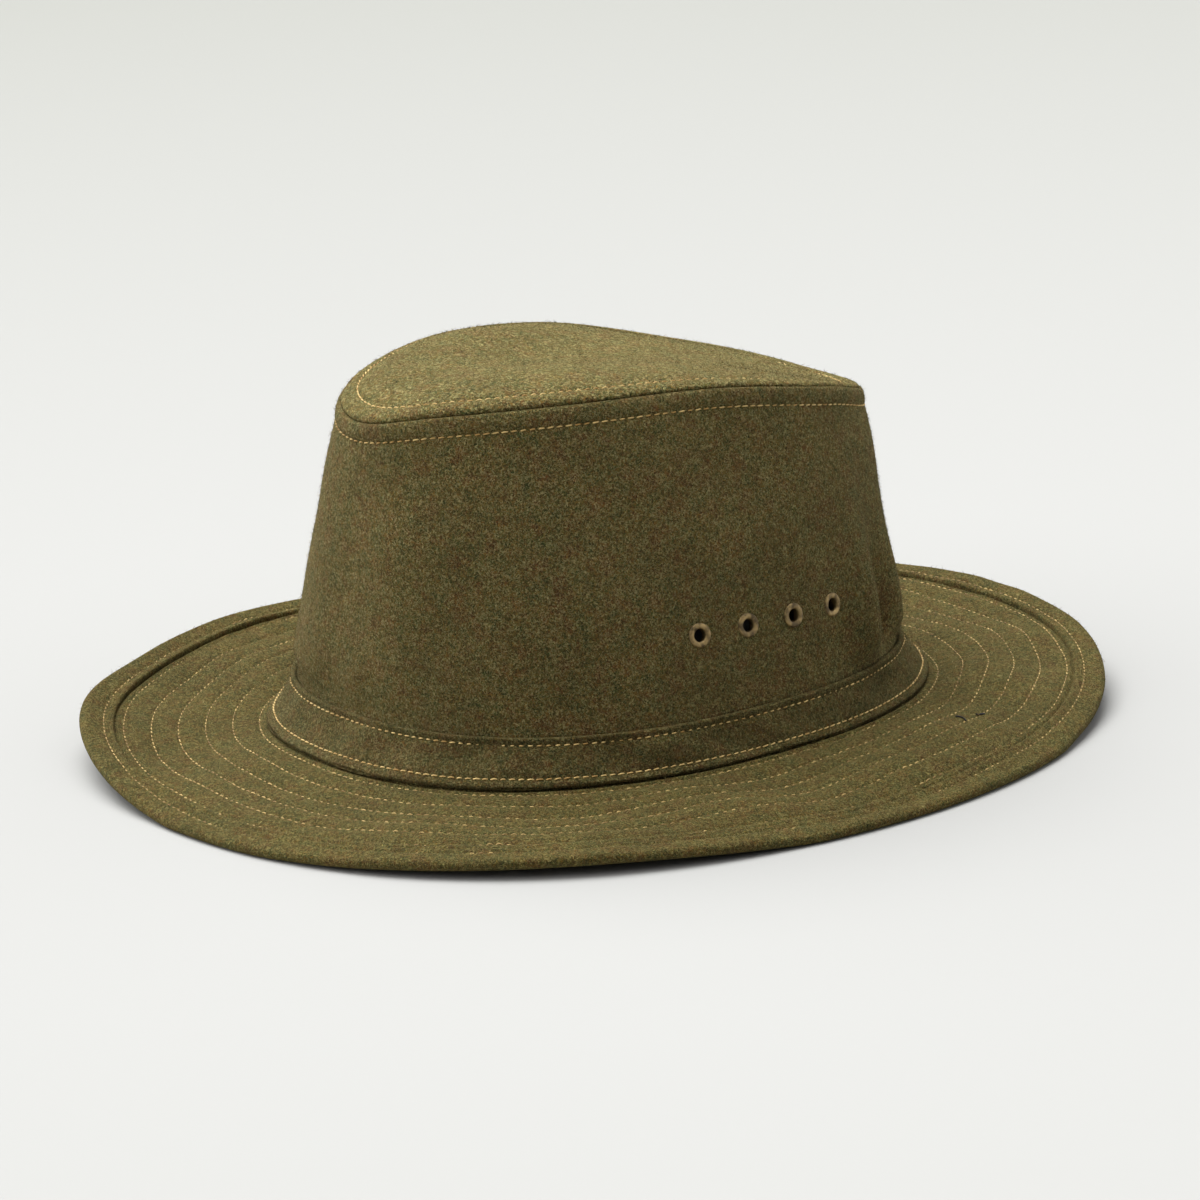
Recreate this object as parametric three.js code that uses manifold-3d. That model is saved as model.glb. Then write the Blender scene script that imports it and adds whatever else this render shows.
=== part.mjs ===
// Wool field hat: a sewn crown of a side wall and a domed top, a cloth band over the
// joint, a brim of two plies with a bound edge, and four eyelets on each side.
// Millimetres, +Z up. The front of the hat is -Y and the wearer's left is +X.
// The origin is on the floor that the hat rests on, below the middle of the head opening.
import * as THREE from 'three';
import { mergeVertices } from 'three/addons/utils/BufferGeometryUtils.js';
import Module from 'manifold-3d';

const wasm = await Module();
wasm.setup();

// Head opening, inside the crown wall.
const headLength = 200;
const headWidth = 178;
const headSquareness = 2.3;

// Cloth thicknesses, and the clearance left between sewn pieces.
const crownCloth = 2.0;
const bandCloth = 1.6;
const brimCloth = 3.0;
const seamClearance = 0.3;

// Band over the joint of crown and brim: its height, and how far it spreads at its foot.
const bandHeight = 16;
const bandSpreadEnds = 11.3;
const bandSpreadSides = 5.5;
const bandSpreadPower = 1.5;
const brimTurnUp = 0.4;

// Crown, from the foot of the band to the seam round the top, and the oval of that seam.
const crownHeight = 109.5;
const topLength = 186;
const topWidth = 136.6;
const topSquareness = 2.2;
const topBackShift = 1.4;
const topFrontTaper = 0.24;
const wallFullness = 1.9;

// Brim and its bound edge, and the height of the band's foot above the floor.
const brimWidth = 59;
const bindingWidth = 10.4;
const tongueDepth = 5.6;
const tongueCloth = 1.4;
const bindingProud = 0.6;
const restHeight = 9.9;
const floorBend = 0.5;

// Eyelets in the side of the crown.
const eyeletFlange = 7.6;
const eyeletBore = 4.3;
const eyeletMetal = 0.4;
const eyeletRise = 23.4;
const eyeletSpacing = 19;
const eyeletCount = 4;
const eyeletBackShift = 5.4;

// Sections round the head, and sides of a round eyelet.
const sectionCount = 60;
const eyeletSides = 12;

// Height of the seam round the top, as shares of crownHeight: the front stands higher
// than the back, and the sides higher than both.
const seamForm = [
  { angle: 0, height: 1.016 },
  { angle: 30, height: 1.055 },
  { angle: 60, height: 1.075 },
  { angle: 90, height: 1.07 },
  { angle: 120, height: 1.0 },
  { angle: 140, height: 0.935 },
  { angle: 160, height: 0.9 },
  { angle: 180, height: 0.91 },
  { angle: 215, height: 0.96 },
  { angle: 250, height: 1.05 },
  { angle: 280, height: 1.09 },
  { angle: 310, height: 1.07 },
  { angle: 335, height: 1.03 },
];

// Top panel, as shares of crownHeight: a soft dome that is fullest at the front, with a
// shallow hollow along the middle of its back half.
const topForm = { middle: 1.0, ease: 1.3, dome: 0.07, frontDome: 0.085, roundness: 4 };
const topHollow = { depth: 0.012, back: 0.25, length: 0.45, width: 0.4 };

// Brim, one row for each section of it. The angle runs from the front over the wearer's
// left. reach is a share of brimWidth, and middle and rim are the heights of the brim's
// upper face at its middle and at its rim above the band's foot, as shares of brimWidth.
const brimForm = [
  { angle: 0, reach: 1.0, middle: -0.05, rim: -0.12 },
  { angle: 20, reach: 0.98, middle: -0.04, rim: -0.1 },
  { angle: 40, reach: 0.97, middle: -0.02, rim: -0.065 },
  { angle: 58, reach: 0.98, middle: -0.02, rim: -0.025 },
  { angle: 75, reach: 0.99, middle: -0.03, rim: -0.07 },
  { angle: 90, reach: 1.0, middle: -0.045, rim: -0.155 },
  { angle: 104, reach: 0.98, middle: 0.01, rim: -0.14 },
  { angle: 120, reach: 0.98, middle: 0.03, rim: -0.07 },
  { angle: 138, reach: 1.02, middle: 0.06, rim: 0.03 },
  { angle: 155, reach: 1.02, middle: 0.06, rim: 0.09 },
  { angle: 175, reach: 1.0, middle: 0.05, rim: 0.12 },
  { angle: 195, reach: 1.0, middle: 0.05, rim: 0.08 },
  { angle: 220, reach: 1.0, middle: 0.03, rim: -0.03 },
  { angle: 240, reach: 1.0, middle: 0.0, rim: -0.13 },
  { angle: 256, reach: 1.0, middle: -0.02, rim: -0.11 },
  { angle: 272, reach: 0.99, middle: 0.0, rim: 0.1 },
  { angle: 290, reach: 0.98, middle: 0.01, rim: 0.18 },
  { angle: 306, reach: 1.0, middle: 0.0, rim: 0.145 },
  { angle: 322, reach: 1.06, middle: -0.03, rim: 0.09 },
  { angle: 338, reach: 1.07, middle: -0.05, rim: 0.01 },
];
const brimBend = { flatShare: 0.45, curlStart: 0.5, curlPower: 1.7 };

// Dents and folds of the crown wall. level is a share of the wall's height, depth and
// reach are shares of crownHeight, and spread is in degrees round the head.
const wallDents = [
  { angle: 152, level: 0.1, depth: 0.022, spread: 7, reach: 0.3 },
  { angle: 138, level: 0.12, depth: -0.012, spread: 7, reach: 0.34 },
  { angle: 205, level: 0.45, depth: 0.016, spread: 22, reach: 0.5 },
  { angle: 262, level: 0.6, depth: 0.018, spread: 30, reach: 0.45 },
];
const dentFade = { fromBand: 1 / 12, fromSeam: 1 / 6 };

const tau = Math.PI * 2;
const toRadians = Math.PI / 180;
const bandTop = 0;
const bandFoot = 1;
const rim = 2;
const topSeam = -1;
const topMiddle = -2;

// A smooth curve through one column of a table whose rows go once round the head.
function readTable(table, column, angle) {
  const degrees = ((angle / toRadians) % 360 + 360) % 360;
  const count = table.length;
  let index = table.findLastIndex((row) => row.angle <= degrees);
  if (index < 0) index = count - 1;
  const at = (step) => {
    const row = table[(index + step + count) % count];
    const turns = Math.floor((index + step) / count);
    return { angle: row.angle + 360 * turns, value: row[column] };
  };
  const [before, start, end, after] = [at(-1), at(0), at(1), at(2)];
  const here = degrees < start.angle ? degrees + 360 : degrees;
  const span = end.angle - start.angle;
  const u = (here - start.angle) / span;
  const slopeStart = (end.value - before.value) / (end.angle - before.angle) * span;
  const slopeEnd = (after.value - start.value) / (after.angle - start.angle) * span;
  return start.value * (2 * u ** 3 - 3 * u ** 2 + 1) + slopeStart * (u ** 3 - 2 * u ** 2 + u)
    + end.value * (3 * u ** 2 - 2 * u ** 3) + slopeEnd * (u ** 3 - u ** 2);
}

function signedPower(value, power) {
  return Math.sign(value) * Math.abs(value) ** power;
}

// Point of a squarish oval round the head.
function ovalPoint(angle, halfLength, halfWidth, squareness) {
  const across = halfWidth * signedPower(Math.sin(angle), 2 / squareness);
  const along = -halfLength * signedPower(Math.cos(angle), 2 / squareness);
  return new THREE.Vector2(across, along);
}

// Outward direction in plan of the oval of the head opening.
function outward(angle) {
  return new THREE.Vector2(Math.sin(angle) / headWidth, -Math.cos(angle) / headLength).normalize();
}

// The line that the sewn pieces follow on their shared face, cut by a plane through the
// head. It runs down the crown wall, under the band and out along the brim's upper face.
const seatOffset = crownCloth + seamClearance / 2;

function bandLine(angle, share) {
  const spread = share ** bandSpreadPower;
  const halfLength = headLength / 2 + seatOffset + bandSpreadEnds * spread;
  const halfWidth = headWidth / 2 + seatOffset + bandSpreadSides * spread;
  const plan = ovalPoint(angle, halfLength, halfWidth, headSquareness);
  return new THREE.Vector3(plan.x, plan.y, restHeight + bandHeight * (1 - share));
}

function seamLine(angle) {
  const plan = ovalPoint(angle, topLength / 2, topWidth / 2, topSquareness);
  const taper = 1 - topFrontTaper * Math.cos(angle);
  const height = restHeight + crownHeight * readTable(seamForm, 'height', angle);
  return new THREE.Vector3(plan.x * taper, plan.y + topBackShift, height);
}

function dentDepth(angle, share) {
  let depth = 0;
  for (const dent of wallDents) {
    const round = ((angle / toRadians - dent.angle + 540) % 360) - 180;
    const up = (share - dent.level) / dent.reach;
    depth += crownHeight * dent.depth * Math.exp(-((round / dent.spread) ** 2) - up ** 2);
  }
  const heldAtBand = Math.min(1, share / dentFade.fromBand);
  const heldAtSeam = Math.min(1, (1 - share) / dentFade.fromSeam);
  return depth * heldAtBand * heldAtSeam;
}

function crownLine(angle, share) {
  const out = outward(angle);
  const swell = wallFullness * Math.sin(Math.PI * share) - dentDepth(angle, share);
  const point = bandLine(angle, 0).lerp(seamLine(angle), share);
  point.x += out.x * swell;
  point.y += out.y * swell;
  return point;
}

function topLine(angle, share) {
  const point = seamLine(angle);
  point.x *= share;
  point.y = topBackShift + (point.y - topBackShift) * share;
  const middle = restHeight + crownHeight * topForm.middle;
  const saddle = middle + (point.z - middle) * share ** topForm.ease;
  const fullness = topForm.dome + topForm.frontDome * share * Math.cos(angle);
  const dome = fullness * (1 - share ** topForm.roundness);
  const side = point.x / (topWidth / 2 * topHollow.width);
  const back = (point.y / (topLength / 2) - topHollow.back) / topHollow.length;
  const hollow = topHollow.depth * Math.exp(-(side ** 2) - back ** 2) * (1 - share ** 4);
  point.z = saddle + crownHeight * (dome - hollow);
  return point;
}

function brimLine(angle, share) {
  const foot = bandLine(angle, 1);
  const out = outward(angle);
  const reach = brimWidth * readTable(brimForm, 'reach', angle) * share;
  const middle = readTable(brimForm, 'middle', angle);
  const edge = readTable(brimForm, 'rim', angle);
  const flat = Math.min(1, share / brimBend.flatShare);
  const settle = flat * flat * (3 - 2 * flat);
  const curl = Math.max(0, (share - brimBend.curlStart) / (1 - brimBend.curlStart));
  const rise = brimWidth * (middle * settle + (edge - middle) * curl ** brimBend.curlPower);
  const height = settleOnFloor(restHeight + rise);
  return new THREE.Vector3(foot.x + out.x * reach, foot.y + out.y * reach, height);
}

// Height of the brim's upper face once the cloth lies flat on the floor where it would
// sink into it, with a soft bend into the flat stretch.
function settleOnFloor(height) {
  const lying = brimCloth + bindingProud + seamClearance / 2;
  const above = height - lying;
  if (above > floorBend) return height;
  if (above < -floorBend) return lying;
  return lying + (above + floorBend) ** 2 / (4 * floorBend);
}

// place runs from topMiddle over topSeam, bandTop and bandFoot to the rim.
function hatLine(angle, place) {
  if (place <= topSeam) return topLine(angle, place - topMiddle);
  if (place <= bandTop) return crownLine(angle, bandTop - place);
  if (place <= bandFoot) return bandLine(angle, place);
  return brimLine(angle, Math.min(place, rim) - bandFoot);
}

// Point at a depth of cloth under the shared face, or above it where depth is negative.
// Both sides of a mitre take their direction from the one place that they meet at.
function layer(angle, place, depth, meeting = place) {
  const step = 0.012;
  const turn = 0.01;
  const along = hatLine(angle, meeting + step).sub(hatLine(angle, meeting - step));
  const round = hatLine(angle + turn, meeting).sub(hatLine(angle - turn, meeting));
  const normal = along.cross(round).normalize();
  return hatLine(angle, place).addScaledVector(normal, -depth);
}

function ringOfPoints([place, depth, meeting]) {
  return Array.from({ length: sectionCount }, (_, index) =>
    layer(index * tau / sectionCount, place, depth, meeting));
}

function geometryFrom(points, triangles) {
  const geometry = new THREE.BufferGeometry();
  const positions = points.flatMap((point) => [point.x, point.y, point.z]);
  geometry.setAttribute('position', new THREE.Float32BufferAttribute(positions, 3));
  geometry.setIndex(triangles);
  geometry.computeVertexNormals();
  return geometry;
}

// Two triangles between each pair of neighbours in two rings of points. The cut across
// each pair leans the same way on both faces of a seam, so that the faces stay apart.
function stitchRings(triangles, section, firstRow, secondRow) {
  const first = firstRow * sectionCount;
  const second = secondRow * sectionCount;
  const outwards = section[secondRow][0] >= section[firstRow][0];
  for (let index = 0; index < sectionCount; index += 1) {
    const next = (index + 1) % sectionCount;
    if (outwards) {
      triangles.push(first + index, second + index, second + next);
      triangles.push(first + index, second + next, first + next);
    } else {
      triangles.push(first + index, second + index, first + next);
      triangles.push(second + index, second + next, first + next);
    }
  }
}

// Closed ring of cloth: its section is a loop of [place, depth] corners, listed down the
// outer face and back up the inner one. A corner on a mitre adds its meeting place.
function clothRing(section) {
  const points = section.flatMap((corner) => ringOfPoints(corner));
  const triangles = [];
  section.forEach((_, row) => stitchRings(triangles, section, row, (row + 1) % section.length));
  return geometryFrom(points, triangles);
}

// Closed panel of cloth with a pole in the middle of each face.
function clothPanel(section) {
  const points = section.flatMap((corner) => ringOfPoints(corner));
  const triangles = [];
  for (let row = 0; row + 1 < section.length; row += 1) {
    stitchRings(triangles, section, row, row + 1);
  }
  const middle = topLine(0, 0);
  const outerPole = points.push(middle.clone()) - 1;
  const innerPole = points.push(middle.clone().setZ(middle.z - crownCloth)) - 1;
  const lastRing = (section.length - 1) * sectionCount;
  for (let index = 0; index < sectionCount; index += 1) {
    const next = (index + 1) % sectionCount;
    triangles.push(outerPole, index, next);
    triangles.push(innerPole, lastRing + next, lastRing + index);
  }
  return geometryFrom(points, triangles);
}

function evenly(from, to, count) {
  return Array.from({ length: count }, (_, index) => from + (to - from) * index / (count - 1));
}

// The crown's two pieces meet in a mitre: a groove shows along it, the cloth rolls into
// it over a short run, and its inner end is longer than the cloth is thick.
const face = seamClearance / 2;
const seamGroove = 0.9;
const seamRoll = 2;
const mitreStretch = 1.15;
const wallLength = crownHeight - bandHeight;
const seamHalfGap = seamClearance * 0.9;
const flangeGap = 0.6 * seamClearance / bandHeight;

function crownSideGeometry() {
  const top = topSeam + seamHalfGap / wallLength;
  const shoulder = topSeam + seamRoll / wallLength;
  const low = bandTop + brimTurnUp - flangeGap;
  const inside = face + crownCloth;
  const outer = [...evenly(shoulder, -0.06, 7), bandTop, low].map((place) => [place, face]);
  const inner = [low, bandTop, ...evenly(-0.1, shoulder + 0.03, 5)].map((place) => [place, inside]);
  const mitre = [[top, inside * mitreStretch, topSeam], [top, face + seamGroove, topSeam]];
  return clothRing([...outer, ...inner, ...mitre]);
}

function crownTopGeometry() {
  const edge = topSeam - seamHalfGap / (topWidth / 2);
  const shoulder = topSeam - seamRoll / (topWidth / 2);
  const inside = face + crownCloth;
  const outer = evenly(-1.86, shoulder, 9).map((place) => [place, face]);
  const inner = evenly(shoulder - 0.04, -1.8, 5).map((place) => [place, inside]);
  const mitre = [[edge, face + seamGroove, topSeam], [edge, inside * mitreStretch, topSeam]];
  return clothPanel([...outer, ...mitre, ...inner]);
}

function hatBandGeometry() {
  const roundOff = 0.3 * bandCloth;
  const outside = -face - bandCloth;
  const outer = [[0.03, outside], [0.35, outside], [0.68, outside], [0.93, outside]];
  const foot = [[bandFoot, outside + roundOff], [bandFoot, -face]];
  const inner = [[0.68, -face], [0.35, -face], [bandTop, -face], [bandTop, outside + roundOff]];
  return clothRing([...outer, ...foot, ...inner]);
}

const groove = rim - bindingWidth / brimWidth;
const grooveGap = seamClearance / brimWidth;
const brimMiddle = face + brimCloth / 2;
const tongueEnd = groove + tongueDepth / brimWidth;

function brimGeometry() {
  const high = bandTop + brimTurnUp + flangeGap;
  const inside = face + brimCloth;
  const last = groove - grooveGap;
  const upper = [high, 0.7, bandFoot, ...evenly(1.13, 1.7, 5)].map((place) => [place, face]);
  const lower = [...evenly(1.68, 1.15, 4), bandFoot, high].map((place) => [place, inside]);
  const tongue = [
    [last, face, groove],
    [last, brimMiddle - tongueCloth / 2, groove],
    [tongueEnd, brimMiddle - tongueCloth / 2],
    [tongueEnd, brimMiddle + tongueCloth / 2],
    [last, brimMiddle + tongueCloth / 2, groove],
    [last, inside, groove],
  ];
  return clothRing([...upper, ...tongue, ...lower]);
}

function bindingGeometry() {
  const half = brimCloth / 2 + bindingProud;
  const slot = tongueCloth / 2 + seamClearance;
  const slotEnd = tongueEnd + 2 * grooveGap;
  const rounding = 1.4 / brimWidth;
  const section = [
    [groove, -half * 0.7], [groove + rounding, -half], [(groove + rim) / 2, -half],
    [rim - rounding, -half], [rim, -half * 0.5], [rim, half * 0.5], [rim - rounding, half],
    [(groove + rim) / 2, half], [groove + rounding, half], [groove, half * 0.7],
    [groove, slot], [slotEnd, slot], [slotEnd, -slot], [groove, -slot],
  ];
  return clothRing(section.map(([place, depth]) => [place, brimMiddle + depth]));
}

// Metal eyelet: a flange on each face of the cloth and a barrel through it.
const barrelRadius = eyeletBore / 2 + eyeletMetal;
const clothHalf = crownCloth / 2 + seamClearance;
const flangeRoll = 0.2;

function eyeletGeometry() {
  const bore = eyeletBore / 2;
  const flange = eyeletFlange / 2;
  const crest = clothHalf + 2 * eyeletMetal;
  const section = [
    [bore, -clothHalf - eyeletMetal], [flange - 2 * flangeRoll, -clothHalf - eyeletMetal],
    [flange - 2 * flangeRoll, -clothHalf], [barrelRadius, -clothHalf], [barrelRadius, clothHalf],
    [flange, clothHalf], [flange - flangeRoll, clothHalf + eyeletMetal],
    [(flange + bore) / 2, crest], [bore, clothHalf + eyeletMetal],
    [bore, -clothHalf - eyeletMetal],
  ].map(([radius, height]) => new THREE.Vector2(radius, height));
  return new THREE.LatheGeometry(section, eyeletSides);
}

// Places of the eyelets on one side, each with its outward direction.
function eyeletPlaces(side) {
  const halfLength = headLength / 2 + seatOffset;
  return Array.from({ length: eyeletCount }, (_, index) => {
    const back = eyeletBackShift + (index - (eyeletCount - 1) / 2) * eyeletSpacing;
    const angle = side * Math.acos(-signedPower(back / halfLength, headSquareness / 2));
    const place = bandTop - eyeletRise / wallLength;
    const outer = layer(angle, place, face);
    const middle = layer(angle, place, face + crownCloth / 2);
    return { middle, direction: outer.sub(middle).normalize() };
  });
}

function turnTo(direction) {
  return new THREE.Quaternion().setFromUnitVectors(new THREE.Vector3(0, 1, 0), direction);
}

function toSolid(geometry) {
  const bare = geometry.clone();
  bare.deleteAttribute('normal');
  bare.deleteAttribute('uv');
  const merged = mergeVertices(bare, 1e-3);
  return new wasm.Manifold(new wasm.Mesh({
    numProp: 3,
    vertProperties: new Float32Array(merged.attributes.position.array),
    triVerts: new Uint32Array(merged.index.array),
  }));
}

function fromSolid(solid) {
  const mesh = solid.getMesh();
  const geometry = new THREE.BufferGeometry();
  geometry.setAttribute('position', new THREE.BufferAttribute(mesh.vertProperties, 3));
  geometry.setIndex(new THREE.BufferAttribute(mesh.triVerts, 1));
  geometry.computeVertexNormals();
  return geometry;
}

// The crown wall with a hole for each eyelet.
function pierce(geometry, places) {
  let solid = toSolid(geometry);
  const radius = barrelRadius + seamClearance;
  for (const { middle, direction } of places) {
    const punch = new THREE.CylinderGeometry(radius, radius, 4 * crownCloth, eyeletSides);
    punch.applyQuaternion(turnTo(direction));
    punch.translate(middle.x, middle.y, middle.z);
    solid = solid.subtract(toSolid(punch));
  }
  return fromSolid(solid);
}

const wool = new THREE.MeshStandardMaterial({ color: 0x5a5231, roughness: 0.95, metalness: 0 });
const woolLight = new THREE.MeshStandardMaterial({ color: 0x655c38, roughness: 0.95, metalness: 0 });
const brass = new THREE.MeshStandardMaterial({ color: 0x6e5c3c, roughness: 0.45, metalness: 0.9 });

function piece(name, geometry, material) {
  const mesh = new THREE.Mesh(geometry, material);
  mesh.name = name;
  return mesh;
}

const hat = new THREE.Group();
const leftPlaces = eyeletPlaces(1);
const rightPlaces = eyeletPlaces(-1);

hat.add(piece('crown_side', pierce(crownSideGeometry(), [...leftPlaces, ...rightPlaces]), wool));
hat.add(piece('crown_top', crownTopGeometry(), wool));
hat.add(piece('hat_band', hatBandGeometry(), woolLight));
hat.add(piece('brim', brimGeometry(), wool));
hat.add(piece('brim_binding', bindingGeometry(), woolLight));

for (const [side, places] of [['left', leftPlaces], ['right', rightPlaces]]) {
  places.forEach(({ middle, direction }, index) => {
    const eyelet = piece(`eyelet_${side}_${index + 1}`, eyeletGeometry(), brass);
    eyelet.position.copy(middle);
    eyelet.quaternion.copy(turnTo(direction));
    hat.add(eyelet);
  });
}

export default hat;
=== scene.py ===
"""Looks of a wool field hat: its cloth, topstitching, eyelets, nap and studio.

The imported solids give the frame. Each cloth solid is replaced by a finer piece that
follows the same lines, with its seams, quilting, folds and rolled edges. Lengths in the
classes are in millimetres, and a mesh is written in metres. An angle runs round the head
from the front (-Y) over the wearer's left (+X).
"""

import logging
import math
from dataclasses import dataclass
from enum import Enum
from typing import NamedTuple

import bpy
import numpy as np
from mathutils import Matrix, Vector


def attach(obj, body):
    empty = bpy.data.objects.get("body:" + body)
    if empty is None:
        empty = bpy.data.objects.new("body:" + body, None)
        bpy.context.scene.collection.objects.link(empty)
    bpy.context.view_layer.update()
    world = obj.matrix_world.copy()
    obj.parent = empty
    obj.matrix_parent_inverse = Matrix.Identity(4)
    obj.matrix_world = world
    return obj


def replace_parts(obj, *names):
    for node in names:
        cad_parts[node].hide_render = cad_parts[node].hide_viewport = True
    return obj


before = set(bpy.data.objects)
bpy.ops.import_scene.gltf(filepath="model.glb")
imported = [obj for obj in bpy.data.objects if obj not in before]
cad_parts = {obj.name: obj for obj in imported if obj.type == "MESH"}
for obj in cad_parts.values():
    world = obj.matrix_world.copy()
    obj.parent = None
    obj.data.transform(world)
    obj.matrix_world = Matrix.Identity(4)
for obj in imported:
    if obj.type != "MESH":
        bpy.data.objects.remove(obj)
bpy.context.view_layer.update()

Array = np.ndarray
Tree = bpy.types.NodeTree
Socket = bpy.types.NodeSocket
Sockets = bpy.types.NodeOutputs
Material = bpy.types.Material
Mesh = bpy.types.Mesh
Piece = bpy.types.Object

MM = 0.001
TAU = 2.0 * math.pi
ROOT = "root"
PHOTO_PIXELS = 1200
log = logging.getLogger("field_hat")


class Place(float, Enum):
    """Where a line down the hat has got to, from the middle of the top to the rim."""

    TOP_MIDDLE = -2.0
    TOP_SEAM = -1.0
    BAND_TOP = 0.0
    BAND_FOOT = 1.0
    RIM = 2.0


class Blend(Enum):
    """How a colour ramp goes from stop to stop."""

    SMOOTH = "EASE"
    STEPPED = "CONSTANT"


class SeamRow(NamedTuple):
    """Height of the seam round the top at one angle, as a share of the crown's height."""

    angle: float
    height: float


class BrimRow(NamedTuple):
    """One section of the brim: its reach, and the heights of its middle and rim."""

    angle: float
    reach: float
    middle: float
    rim: float


class SinkRow(NamedTuple):
    """How far stitches lie sunk at one angle: quilting, and the rows by the edge."""

    angle: float
    quilting: float
    edge: float


class EdgeRow(NamedTuple):
    """How clearly the bound edge stands off the brim at one angle, from 0 to 1."""

    angle: float
    clear: float


class Fold(NamedTuple):
    """A dent of the wall, or a fold where depth is negative, in shares and degrees."""

    angle: float
    level: float
    depth: float
    spread: float
    reach: float


class TopSwell(NamedTuple):
    """A swell of the top panel: its place and size in half widths and half lengths."""

    across: float
    along: float
    height: float
    width: float
    length: float


class Tuck(NamedTuple):
    """A small tuck in the brim: its angle, its distance from the band, and its sizes."""

    angle: float
    distance: float
    width: float
    length: float
    depth: float


class ThreadEnd(NamedTuple):
    """A thread end on the brim: the angles and places of its ends, and its bend."""

    angle: float
    place: float
    last_angle: float
    last_place: float
    bend: float


class Dye(NamedTuple):
    """One colour of a blend: where it starts, and its sRGB hex."""

    start: float
    colour: str


class Strand(NamedTuple):
    """One set of curly surface fibres: their spacing in millimetres, colour and cover."""

    spacing: float
    colour: str
    cover: float


class SoftSun(NamedTuple):
    """A broad soft light: its angle from the camera, its height, power and spread."""

    name: str
    turn: float
    height: float
    power: float
    spread: float


def linear(colour: str, alpha: float = 1.0) -> tuple[float, float, float, float]:
    """Turns an sRGB hex colour to linear light.

    Args:
        colour: Six hex digits after a hash mark.
        alpha: The fourth value of the result.

    Returns:
        Red, green, blue and alpha.
    """
    values = [int(colour[place:place + 2], 16) / 255 for place in (1, 3, 5)]
    light = [v / 12.92 if v <= 0.04045 else ((v + 0.055) / 1.055) ** 2.4 for v in values]
    return (*light, alpha)


def add_node(tree: Tree, kind: str, inputs: dict | None = None,
             **settings: object) -> bpy.types.Node:
    """Adds a node with its settings, values and links.

    Args:
        tree: The tree that gets the node.
        kind: The node's type name.
        inputs: Input name or number to a value, or to the output socket that feeds it.
        settings: The node's own settings.

    Returns:
        The new node.
    """
    node = tree.nodes.new(kind)
    for name, value in settings.items():
        setattr(node, name, value)
    for name, value in (inputs or {}).items():
        if isinstance(value, bpy.types.NodeSocket):
            tree.links.new(value, node.inputs[name])
        else:
            node.inputs[name].default_value = value
    return node


def read_table(rows: tuple, column: str, angle: Array) -> Array:
    """Reads a smooth closed curve through one column of a table.

    Args:
        rows: The table's rows, by rising angle in degrees from 0.
        column: The column's name.
        angle: Angles in radians.

    Returns:
        The column's value at each angle.
    """
    degrees = np.degrees(angle) % 360.0
    angles = np.array([row.angle for row in rows])
    values = np.array([getattr(row, column) for row in rows])
    index = np.searchsorted(angles, degrees, side="right") - 1

    def at(step: int) -> tuple[Array, Array]:
        """Gives the angle and value of the row some steps on."""
        row = index + step
        return angles[row % len(rows)] + 360.0 * (row // len(rows)), values[row % len(rows)]

    (before, v_before), (start, v_start), (end, v_end), (after, v_after) = map(at, (-1, 0, 1, 2))
    span = end - start
    u = (degrees - start) / span
    slope_start = (v_end - v_before) / (end - before) * span
    slope_end = (v_after - v_start) / (after - start) * span
    return (v_start * (2 * u ** 3 - 3 * u ** 2 + 1) + slope_start * (u ** 3 - 2 * u ** 2 + u)
            + v_end * (3 * u ** 2 - 2 * u ** 3) + slope_end * (u ** 3 - u ** 2))


def hump(distance: Array, width: float) -> Array:
    """Gives a smooth hump of height 1 with this half width."""
    return np.exp(-((distance / width) ** 2))


def smooth(share: Array) -> Array:
    """Eases a share from 0 to 1, and holds it beyond both ends."""
    held = np.clip(share, 0.0, 1.0)
    return held * held * (3.0 - 2.0 * held)


def clustered(start: float, end: float, step: float, marks: tuple[float, ...]) -> Array:
    """Spaces lines evenly, and closely on both sides of each mark.

    Args:
        start: First line.
        end: Last line.
        step: Distance between lines away from the marks.
        marks: Where the lines crowd, as at a row of stitching.

    Returns:
        The lines' distances, rising.
    """
    near = np.array([-1.5, -1.05, -0.7, -0.35, 0.0, 0.35, 0.7, 1.05, 1.5])
    room = 0.3 * step
    plain = np.linspace(start, end, round((end - start) / step) + 1)
    away = np.abs(plain[:, None] - np.array(marks)).min(axis=1) > near[-1] + room
    close = (np.array(marks)[:, None] + near).ravel()
    lines = np.concatenate([[start, end], plain[away], close[(close > start) & (close < end)]])
    return np.unique(lines.round(4))


@dataclass(frozen=True)
class SoftWaves:
    """A smooth random swell in space, from waves of like length in seeded directions."""

    seed: int
    wavelength: float
    waves: int = 14
    spread: float = 0.3

    def at(self, points: Array) -> Array:
        """Gives the swell, mostly from -1 to 1.

        Args:
            points: Points in millimetres.

        Returns:
            The swell at each point.
        """
        random = np.random.default_rng(self.seed)
        directions = random.normal(size=(self.waves, 3))
        directions /= np.linalg.norm(directions, axis=1, keepdims=True)
        stretch = random.uniform(1 - self.spread, 1 + self.spread, self.waves)
        turns_per_mm = directions * (stretch * TAU / self.wavelength)[:, None]
        turns = np.tensordot(points, turns_per_mm.T, axes=1)
        swell = np.sin(turns + random.uniform(0, TAU, self.waves)).sum(-1)
        return swell / math.sqrt(self.waves)


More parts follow.
